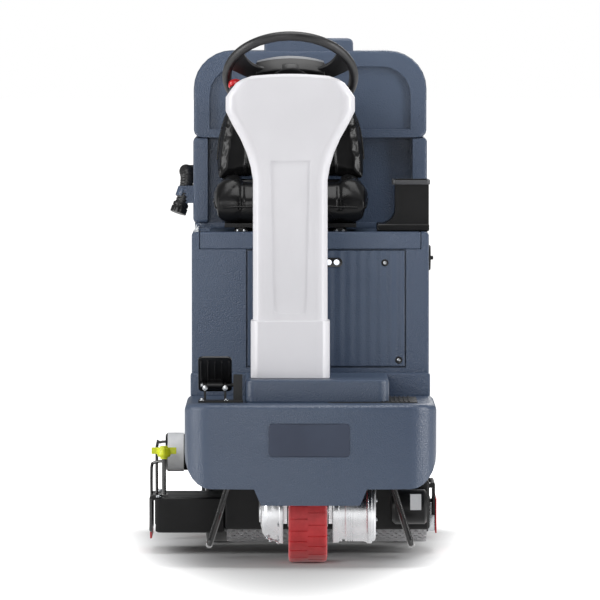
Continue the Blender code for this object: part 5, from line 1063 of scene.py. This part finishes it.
# the flange between the case's halves, which curves down round its front
seam_line = []
for i in range(25):
    t = i / 24
    a = radians(-62 - 66 * t)
    seam_line.append(WHEEL + Vector((left + 0.006 + (case_seat - left - 0.016) * t ** 0.7,
                                     -0.1 * cos(a), 0.1 * sin(a))))
piping("gear_case_flange", case, seam_line, 0.0030, "drive_unit", CAST_ALUMINIUM)
places = []
for i in (1, 8, 15, 22):
    _, place, normal, _ = case.closest_point_on_mesh(seam_line[i])
    places.append((place, normal))
studs = [disc("stud", place + normal * 0.001, 0.0045, 0, 0.0065,
              normal.to_track_quat("Z", "Y").to_matrix().to_4x4(), 16) for place, normal in places]
keep(joined("gear_case_studs", studs), "drive_unit", ZINC)
ring = [(0.0892, case_seat - 0.0005), (0.0912, case_seat - 0.0005), (0.0912, case_seat - 0.004),
        (0.0892, case_seat - 0.004)]
rings.append(lathe("bright_ring", ring, WHEEL, 72))
keep(joined("drive_flange_rings", rings), "drive_unit", TURNED_ALUMINIUM)

OUT_LEFT = Matrix.Rotation(-pi / 2, 4, "Y")
places = []
for i in range(10):
    a = radians(36 * i + 26)
    places.append(WHEEL + Vector((case_seat - 0.0110, 0.0855 * cos(a), 0.0855 * sin(a))))
bolts("gear_case_screws", places, OUT_LEFT, 0.0036, "drive_unit", socket=True)
places = []
for i in range(8):
    a = radians(45 * i + 20)
    places.append(WHEEL + Vector((end - 0.0008, 0.0665 * cos(a), 0.0665 * sin(a))))
bolts("motor_end_screws", places, TO_X, 0.0040, "drive_unit", socket=True)
print("drive unit made")

# %% [markdown]
# ## Rear wheels
# The rear wheels are rubber tyres on moulded nylon wheels. The wheel is a
# turned dish with five ribs, and a cap covers the axle's end.

# %% Rear wheels
# Glass-filled nylon: pale grey with cloudy flow marks.
NYLON_GREY = surface(new_material("moulded_nylon_light_grey", "#b4b5b8", 0.42),
                     "#aaabae", "#bcbdc0", 60, 2.0, 0.04, (0.36, 0.50))
ON_EDGE = Matrix(((0, 1, 0, 0), (0, 0, 1, 0), (1, 0, 0, 0), (0, 0, 0, 1)))  # a plate lengthwise to X
for side in (-1, 1):
    node = "rear_wheel_right" if side < 0 else "rear_wheel_left"
    centre = middle(node)
    half = (high(node).x - low(node).x) / 2 - 0.004
    radius = (high(node).z - low(node).z) / 2
    right = [(radius - 0.030, 0), (radius - 0.030, half * 0.9), (radius - 0.026, half * 0.975),
             (radius - 0.014, half), (radius - 0.006, half * 0.97), (radius - 0.0015, half * 0.90),
             (radius, half * 0.80), (radius, half * 0.62), (radius - 0.0035, half * 0.59),
             (radius - 0.0035, half * 0.53), (radius, half * 0.50), (radius, half * 0.05)]
    loop = right + [(r, -x) for r, x in right[:0:-1]] + [right[0]]
    rubber = lathe("tyre", loop, centre, 72, 30)
    keep(rubber, node, BLACK_RUBBER)
    face = [(0.0125, half + 0.003), (0.030, half + 0.003), (0.0325, half + 0.001), (0.035, half - 0.012),
            (0.060, half - 0.017), (radius - 0.046, half - 0.014), (radius - 0.043, half - 0.004),
            (radius - 0.039, half - 0.002), (radius - 0.0298, half - 0.002), (radius - 0.0298, 0)]
    loop = face + [(r, -x) for r, x in face[-2::-1]] + [face[0]]
    wheel_parts = [lathe("dish", loop, centre, 72, 30)]
    for i in range(5):
        turn = Matrix.Translation(centre) @ Matrix.Rotation(radians(72 * i + 10), 4, "X")
        for out in (-1, 1):
            blade = [(0.031, out * (half - 0.013)), (0.031, out * (half - 0.001)),
                     (radius - 0.041, out * (half - 0.006)), (radius - 0.041, out * (half - 0.016))]
            rib = plate("rib", blade, -0.004, 0.004, turn @ ON_EDGE)
            rounded(rib, 1.2, 2, 40)
            wheel_parts.append(rib)
    keep(joined(node + "_hub", wheel_parts), node, NYLON_GREY, [node])
    cap = [(0.0123, side * (half + 0.0025)), (0.022, side * (half + 0.0028)),
           (0.022, side * (half + 0.006)), (0.018, side * (half + 0.010)),
           (0.010, side * (half + 0.0125)), (0, side * (half + 0.013))]
    keep(lathe("axle_cap", [(0, side * (half + 0.0025))] + cap, centre, 32), "chassis", BLACK_NYLON)
print("rear wheels made")

# %% [markdown]
# ## Brushes
# A cylindrical brush is a tube with tufts of crimped nylon set in spiral rows.
# One flared tuft of few faces is modelled, and two Array modifiers, one that
# turns and one that steps and twists, set more than a thousand of them.

# %% Tufted brushes
# Crimped nylon filament: pale, with deep fine waves.
NYLON_BRISTLE = surface(new_material("crimped_nylon_bristle_natural", "#c0c0c2", 0.55),
                        "#b6b6b8", "#cacacc", 8, 0.9, 0.30, (0.48, 0.62))


def array_by(piece, count, step):
    """Repeats a piece by the turn and shift of a helper object."""
    bpy.ops.object.empty_add(location=(0, 0, 0))
    helper = bpy.context.object
    helper.matrix_world = piece.matrix_world @ step
    array = piece.modifiers.new("repeat", "ARRAY")
    array.use_relative_offset = False
    array.use_object_offset = True
    array.offset_object = helper
    array.count = count
    bpy.context.view_layer.update()
    apply_all(piece)
    select_only(helper)
    bpy.ops.object.delete()


TUFTS, TUFT_STEP = 26, 0.0108
for node in ("brush_front", "brush_rear"):
    centre = middle(node)
    radius = (high(node).z - low(node).z) / 2
    length = high(node).x - low(node).x
    core = [(0, -length / 2), (0.046, -length / 2), (0.048, -length / 2 + 0.002),
            (0.048, length / 2 - 0.002), (0.046, length / 2), (0, length / 2)]
    keep(lathe("brush_tube", core, centre, 40), node, GREY_ABS)
    # the crowd of finer bristles behind the tufts that the eye can pick out
    near_tips, end = radius - 0.0025, length / 2 - 0.006
    crowd = [(0.047, -end), (near_tips - 0.002, -end), (near_tips, -end + 0.003),
             (near_tips, end - 0.003), (near_tips - 0.002, end), (0.047, end)]
    keep(lathe("brush_crowd", crowd, centre, 64), node, NYLON_BRISTLE)
    bpy.ops.object.select_all(action="DESELECT")
    deep = radius - 0.044
    bpy.ops.mesh.primitive_cone_add(vertices=5, radius1=0.0034, radius2=0.0086, depth=deep,
                                    end_fill_type="NGON", location=(0, 0, 0.044 + deep / 2))
    tuft = bpy.context.object
    bpy.ops.object.transform_apply(location=True, rotation=True, scale=True)
    array_by(tuft, TUFTS, Matrix.Rotation(2 * pi / TUFTS, 4, "X"))
    rows = int((length - 0.016) / TUFT_STEP)
    array_by(tuft, rows, Matrix.Translation((TUFT_STEP, 0, 0)) @ Matrix.Rotation(pi / TUFTS, 4, "X"))
    tuft.data.transform(Matrix.Translation(centre - Vector((TUFT_STEP * (rows - 1) / 2, 0, 0))))
    tuft.name = node + "_tufts"
    smooth(tuft, 40)
    keep(tuft, node, NYLON_BRISTLE, [node])
print("brushes have", rows * TUFTS, "tufts each")

# %% [markdown]
# ## Hoses
# A suction hose is a thin wall wound round a spring, so its surface is a row
# of even ridges. The line is smoothed first, and each ring of the grid is set
# square to it. Plain cuffs close both ends.

# %% Ribbed hoses
def smooth_line(points, step):
    """Evenly spaced points on a curve that passes through the given ones."""
    points = [Vector(p) for p in points]
    points = [2 * points[0] - points[1]] + points + [2 * points[-1] - points[-2]]
    dense = []
    for a, b, c, d in zip(points, points[1:], points[2:], points[3:]):
        for k in range(24):
            t = k / 24
            dense.append(0.5 * (2 * b + (c - a) * t + (2 * a - 5 * b + 4 * c - d) * t * t
                                + (3 * b - a - 3 * c + d) * t ** 3))
    dense.append(points[-2])
    even, left_over = [dense[0]], 0.0
    for a, b in zip(dense, dense[1:]):
        length = (b - a).length
        place = step - left_over
        while place <= length:
            even.append(a + (b - a) * place / length)
            place += step
        left_over = (left_over + length) % step
    return even


def ribbed_hose(name, points, radius, pitch, depth, cuff, sides=24):
    """A ridged hose along the points, with a plain cuff of that length at each end."""
    step = pitch / 4
    line = smooth_line(points, step)
    count = len(line) - 1
    turned = [(line[min(k + 1, count)] - line[max(k - 1, 0)]).normalized() for k in range(count + 1)]
    across = turned[0].orthogonal().normalized()
    frames = []
    for along in turned:
        across = (across - along * across.dot(along)).normalized()
        frames.append((across.copy(), along.cross(across)))

    def place(i, j):
        k = min(max(i - 1, 0), count)
        edge = min(k, count - k) * step
        r = radius - depth * (1 - cos(2 * pi * k / 4)) / 2
        if edge < cuff:
            r = radius - depth * 0.2
        if i == 0 or i == count + 2:
            r = radius * 0.62
        u, v = frames[k]
        a = 2 * pi * (j % sides) / sides
        return line[k] + (u * cos(a) + v * sin(a)) * r
    hose = wrapped(name, count + 2, sides, place, 50)
    edit(hose)
    bpy.ops.mesh.select_all(action="SELECT")
    bpy.ops.mesh.fill_holes(sides=0)
    done()
    return hose


# Soft PVC: black and satin, with a trace of talc in its tone.
HOSE_RUBBER = surface(new_material("flexible_pvc_hose_black", "#1a1a1b", 0.42),
                      "#161617", "#202021", 30, 1.6, 0.04, (0.36, 0.50))
hose_r = (high("vacuum_hose_upper").x - low("vacuum_hose_upper").x) / 2 - 0.0004
x = middle("vacuum_hose_upper").x
back = high("vacuum_hose_upper").y - hose_r - 0.0005
top = high("vacuum_hose_upper").z - hose_r - 0.0005
split = low("vacuum_hose_upper").z
into = low("vacuum_hose_upper").y
upper = ribbed_hose("vacuum_hose_upper_ribbed", [
    (x, back, split), (x, back, split + 0.010), (x, back - 0.002, (split + top) / 2),
    (x, back - 0.008, top - 0.090), (x, back - 0.032, top - 0.030), (x, back - 0.068, top - 0.004),
    (x, into + 0.026, top), (x, into + 0.001, top)], hose_r, 0.0092, 0.0030, 0.026)
upper.data.materials.append(HOSE_RUBBER)
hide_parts("vacuum_hose_upper")
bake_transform(upper)
start = low("vacuum_hose_lower").z
lower = ribbed_hose("vacuum_hose_lower_ribbed", [
    (x, back - 0.008, start), (x, back - 0.008, start + 0.010), (x, back - 0.002, (start + split) / 2),
    (x, back, split - 0.010), (x, back, split - 0.0003)], hose_r, 0.0092, 0.0030, 0.022)
lower.data.materials.append(HOSE_RUBBER)
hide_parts("vacuum_hose_lower")
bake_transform(lower)

# %% Drain hose, its cap and its clip
flank = high("drain_hose").x
drain_r = 0.0188
z = high("drain_hose").z - drain_r - 0.0035
y_end = high("drain_hose").y - 0.019
y_cap = low("drain_hose").y + 0.0235
drain = ribbed_hose("drain_hose_ribbed", [
    (flank - 0.001, y_end, z), (flank - drain_r - 0.006, y_end - 0.015, z),
    (flank - drain_r - 0.010, y_end - 0.080, z), (flank - drain_r - 0.008, y_cap + 0.060, z + 0.004),
    (flank - drain_r - 0.005, y_cap + 0.022, z - 0.018),
    (flank - drain_r - 0.013, y_cap + 0.006, z - 0.060),
    (flank - drain_r - 0.026, y_cap, z - 0.098)], drain_r, 0.0080, 0.0022, 0.018)
keep(drain, "chassis", HOSE_RUBBER, ["drain_hose"])
axis = Vector((-0.013, -0.006, -0.038)).normalized()
cap_turn = axis.to_track_quat("Z", "Y").to_matrix().to_4x4()
cap_at = Vector((flank - drain_r - 0.026, y_cap, z - 0.098)) - axis * 0.004
gear = []
for i in range(48):
    r = 0.0228 if i % 4 in (0, 1) else 0.0214
    gear.append((r * cos(2 * pi * i / 48), r * sin(2 * pi * i / 48)))
cap = plate("drain_cap", gear, 0, 0.017, Matrix.Translation(cap_at) @ cap_turn)
rounded(cap, 1.2, 2, 60)
collar = disc("drain_collar", cap_at, 0.0216, -0.012, -0.002, cap_turn, 40, 1.5)
keep(joined("drain_cap", [cap, collar]), "chassis", BLACK_NYLON)
clip_at = Vector((flank - drain_r - 0.012, y_cap + 0.008, z - 0.055))
ring = []
for i in range(29):
    a = radians(-52 + 284 * i / 28)
    ring.append((0.0225 * cos(a), 0.0225 * sin(a)))
ring += [(x * 0.885, y * 0.885) for x, y in ring[::-1]]
clip = plate("drain_clip", ring, -0.013, 0.013, Matrix.Translation(clip_at) @ cap_turn
             @ Matrix.Rotation(radians(90), 4, "Z"))
rounded(clip, 0.8)
arm = plate("clip_arm", rounded_box(clip_at.x + 0.018, flank + 0.002, clip_at.z - 0.020,
                                    clip_at.z + 0.012, 0.004),
            -clip_at.y - 0.010, -clip_at.y + 0.002, TO_FRONT)
rounded(arm, 1.5)
keep(joined("drain_clip", [clip, arm]), "chassis", POLYETHYLENE)
print("hoses made")

# %% [markdown]
# ## Small fittings on the body
# A plain shape looks real once it carries its fasteners, lamps, seals and
# labels. The labels stay blank: only their plain sheets are made.

# %% Lamps and quarter-turn fasteners
lens = middle("lamp_lens")
panel_y = low("lamp_lens").y
bezel = plate("lamp_bezel", rounded_box(lens.x - 0.027, lens.x + 0.027, lens.z - 0.013,
                                        lens.z + 0.013, 0.0128, 10),
              -panel_y - 0.0026, -panel_y + 0.0012, TO_FRONT)
rounded(bezel, 1.0, 3)
keep(bezel, "chassis", GLOSS_FACE, ["lamp_lens"])
leds = []
for dx in (-0.0105, 0.0105):
    profile = [(0, 0.0), (0.0076, 0.0), (0.0076, 0.0016), (0.0068, 0.0026), (0.0050, 0.0034),
               (0.0026, 0.0039), (0, 0.0040)]
    led = lathe("led", profile, Vector(), 28)
    led.data.transform(Matrix.Translation((lens.x + dx, panel_y - 0.0008, lens.z))
                       @ Matrix.Rotation(-pi / 2, 4, "Z"))
    leds.append(led)
keep(joined("front_leds", leds), "chassis", LAMP_WHITE)

for node in ("panel_fastener_1", "panel_fastener_2"):
    at = middle(node)
    face = low(node).y
    ring = lathe("fastener", [(0.0048, -0.0025), (0.0048, 0.0006), (0.0062, 0.0008), (0.0068, 0.0024),
                              (0.0084, 0.0026), (0.0095, 0.0014), (0.0095, -0.0025), (0.0048, -0.0025)],
                 Vector(), 40)
    ring.data.transform(Matrix.Translation((at.x, face + 0.0026, at.z)) @ Matrix.Rotation(-pi / 2, 4, "Z"))
    stem = disc("fastener_stem", (at.x, face, at.z), 0.0046, -0.021, -0.0022, TO_FRONT, 24, 0.3)
    keep(joined(node + "_ring", [ring, stem]), node, BLACK_NYLON, [node])
    screw = disc("fastener_screw", (at.x, face, at.z), 0.0047, -0.0024, -0.0010, TO_FRONT, 24, 0.4)
    blades = plate("fastener_slot", rounded_box(-0.0012, 0.0012, -0.0040, 0.0040, 0.0008, 3),
                   -0.0016, 0.0006,
                   Matrix.Translation((at.x, face, at.z)) @ TO_FRONT @ Matrix.Rotation(0.6, 4, "Z"))
    keep(joined(node + "_screw", [screw, blades]), node, ZINC)

# %% Bolts on rails, deck, pedal and panel
rail_front = low("seat_rails").y
rail_z = (low("seat_rails").z + high("seat_rails").z) / 2
places = []
for cx in (low("seat_rails").x + 0.018, high("seat_rails").x - 0.018):
    places += [(cx - 0.009, rail_front, rail_z - 0.0025), (cx + 0.009, rail_front, rail_z - 0.0025)]
bolts("rail_bolts", places, TO_FRONT, 0.0028, "seat_lid")
ear_x = [low("pedal_bracket").x + 0.018, low("pedal_bracket").x + 0.072]
pivot_at = Vector(JOINTS["accelerator_press"]["pos_m"])
bolts("pedal_pivot_left", [(ear_x[0] - 0.0062, pivot_at.y, pivot_at.z)], OUT_LEFT, 0.0062, "chassis")
floor_z = low("pedal_bracket").z + 0.0062
places = [(low("pedal_bracket").x + 0.010, low("pedal_bracket").y + 0.008, floor_z),
          (high("pedal_bracket").x - 0.045, low("pedal_bracket").y + 0.008, floor_z),
          (low("pedal_bracket").x + 0.010, high("pedal_bracket").y - 0.008, floor_z)]
bolts("pedal_base_bolts", places, Matrix(), 0.0046, "chassis")
places = [(x, pivot_at.y - 0.0095, pivot_at.z - 0.008) for x in ear_x]
bolts("pedal_front_bolts", places, TO_FRONT, 0.0052, "chassis")
box_low, box_high = low("deck_end_box"), high("deck_end_box")
bolts("end_box_bolts", [(box_low.x + 0.026, box_low.y + 0.030, box_high.z),
                        (box_low.x + 0.026, box_high.y - 0.030, box_high.z)],
      Matrix(), 0.0070, "brush_deck")

# %% Plain labels on the motors
motor = middle("brush_motor_right")
r = (high("brush_motor_right").z - low("brush_motor_right").z) / 2
x0 = low("brush_motor_right").x - motor.x
sleeve = [(r - 0.002, x0 + 0.006), (r + 0.0004, x0 + 0.006), (r + 0.0004, x0 + 0.050),
          (r - 0.002, x0 + 0.050), (r - 0.002, x0 + 0.006)]
keep(lathe("right_motor_label", sleeve, motor, 72), "brush_deck", STICKER)
motor = middle("brush_motor_left")
r = (high("brush_motor_left").z - low("brush_motor_left").z) / 2


def patch(name, centre, radius, x0, x1, a0, a1, body):
    """A thin sheet on a drum's front, from angle a0 up to a1."""
    def place(i, j):
        a = radians(a0 + (a1 - a0) * j / 12)
        k = (radius, radius + 0.0006, radius + 0.0006, radius, radius)[i]
        return centre + Vector(((x0, x0, x1, x1, x0)[i], -k * cos(a), k * sin(a)))
    return keep(wrapped(name, 4, 12, place), body, STICKER)


patch("left_motor_label", motor, r, 0.002, 0.032, -8, 48, "brush_deck")
bracket = plate("blade_bracket", rounded_box(0.366, 0.384, 0.062, 0.106, 0.003), 0.1395, 0.1435,
                TO_FRONT)
rounded(bracket, 0.6)
keep(bracket, "side_squeegee", ZINC)
print("fittings made")

# %% [markdown]
# ## Seals, shell and mats
# Where two mouldings stand apart in the construction model, the real machine
# has a foam seal or a plinth. A shell closes the seat behind the cushion.

# %% Plinth, seat shell and floor mats
tank_low, tank_high = low("recovery_tank"), high("recovery_tank")
plinth = plate("tank_plinth", rounded_box(tank_low.x + 0.040, tank_high.x - 0.022, tank_low.y + 0.016,
                                          tank_high.y - 0.030, 0.03), high("seat_rails").z - 0.0095,
               tank_low.z + 0.0165)
rounded(plinth, 1.5)
keep(plinth, "chassis", POLYETHYLENE)

shell_x = SEAT_MID.x
shell = plate("seat_shell", rounded_box(shell_x - 0.196, shell_x + 0.196, SEAT_MID.z - 0.045,
                                        low("seat_backrest").z + 0.004, 0.03),
              -high("seat_pan").y + 0.006, -high("seat_cushion").y - 0.004, TO_FRONT)
rounded(shell, 3.0, 3)
keep(shell, "seat", BLACK_NYLON)

# Floor mat rubber: matt and a shade greyer than the mouldings round it.
MAT_RUBBER = surface(new_material("ribbed_floor_mat_rubber", "#1d1d1e", 0.6),
                     "#191919", "#232324", 60, 2.2, 0.08, (0.52, 0.68))
deck_low, deck_high = low("front_deck"), high("front_deck")
mat_z = low("pedal_bracket").z
column_x = middle("column_front_cover").x
for name, x0, x1 in (("left", column_x + 0.100, deck_high.x - 0.050),
                     ("right", -0.130, column_x - 0.100)):
    if x1 - x0 < 0.05:
        continue  # too narrow for a foot
    pieces = [plate("mat", rounded_box(x0, x1, deck_low.y + 0.110, deck_high.y - 0.130, 0.015),
                    mat_z, mat_z + 0.002)]
    bevel(pieces[0], 0.8, 2, 50)
    ribs = int((x1 - x0 - 0.020) / 0.012)
    for i in range(ribs):
        rx = x0 + 0.014 + 0.012 * i
        pieces.append(plate("mat_rib", rounded_box(rx - 0.002, rx + 0.002, deck_low.y + 0.122,
                                                   deck_high.y - 0.142, 0.0019, 3),
                            mat_z + 0.0015, mat_z + 0.0045))
    mat = joined("floor_mat_" + name, pieces)
    smooth(mat)
    keep(mat, "chassis", MAT_RUBBER)

# %% Lip of the storage bin
bin_low, bin_high = low("storage_bin"), high("storage_bin")
MOUTH_WIDTH = 0.0985


def bin_lip(i, j):
    """The rolled lip's section, carried round the bin's rounded outline."""
    out, z = ((-0.0018, -0.012), (0.0016, -0.012), (0.0022, -0.0112), (0.0022, -0.0012), (0.0014, 0.0002),
              (-0.0030, 0.0002), (-0.0036, -0.0008), (-0.0036, -0.010), (-0.0018, -0.012))[i]
    ring = rounded_box(bin_high.x - MOUTH_WIDTH - out, bin_high.x + out, bin_low.y - out,
                       bin_high.y + out, 0.010 + out, 5)
    x, y = ring[j % len(ring)]
    return Vector((x, y, bin_high.z + z))


lip = wrapped("bin_lip", 8, 24, bin_lip, 40)
keep(lip, "seat_lid", GREY_ABS)
print("seals and mats made")

# %% [markdown]
# ## Battery bay
# With the seat lid raised the batteries come into view, so they get posts,
# link bars and vent caps.

# %% Battery posts and links
pack_low, pack_high = low("battery_pack"), high("battery_pack")
span = pack_high - pack_low
posts, caps, links = [], [], []
for i in range(4):
    cx = pack_low.x + span.x * (i + 0.5) / 4
    for cy in (pack_low.y + 0.060, pack_high.y - 0.060):
        posts.append(disc("post", (cx, cy, pack_high.z), 0.009, -0.001, 0.009, Matrix(), 20, 1.0))
        caps.append(disc("cap", (cx, cy, pack_high.z), 0.015, -0.001, 0.0035, Matrix(), 24, 1.0))
    if i < 3:
        cy = pack_low.y + 0.060 if i % 2 else pack_high.y - 0.060
        bar = plate("link", rounded_box(cx - 0.008, cx + span.x / 4 + 0.008, cy - 0.007, cy + 0.007, 0.006),
                    pack_high.z + 0.0045, pack_high.z + 0.0080)
        bevel(bar, 0.6, 2, 50)
        links.append(bar)
    for k in range(3):
        cy = middle("battery_pack").y + (k - 1) * 0.045
        caps.append(disc("vent", (cx, cy, pack_high.z), 0.011, -0.001, 0.004, Matrix(), 24, 1.0))
keep(joined("battery_posts", posts), "chassis", ZINC)
keep(joined("battery_caps", caps), "chassis", BLACK_NYLON)
keep(joined("battery_links", links), "chassis", RED_PU)
print("battery fittings made")

# %% [markdown]
# ## Wing knob's boss
# The two wings of the knob grow from a round boss that hides the nut.

# %% Boss
knob = middle("wing_knob")
keep(disc("wing_knob_boss", Vector((knob.x, knob.y, low("wing_knob").z - 0.006)), 0.0105, 0.0,
          high("wing_knob").z - low("wing_knob").z + 0.010, Matrix(), 32, 1.6), BODY_OF["wing_knob"],
     YELLOW_NYLON)
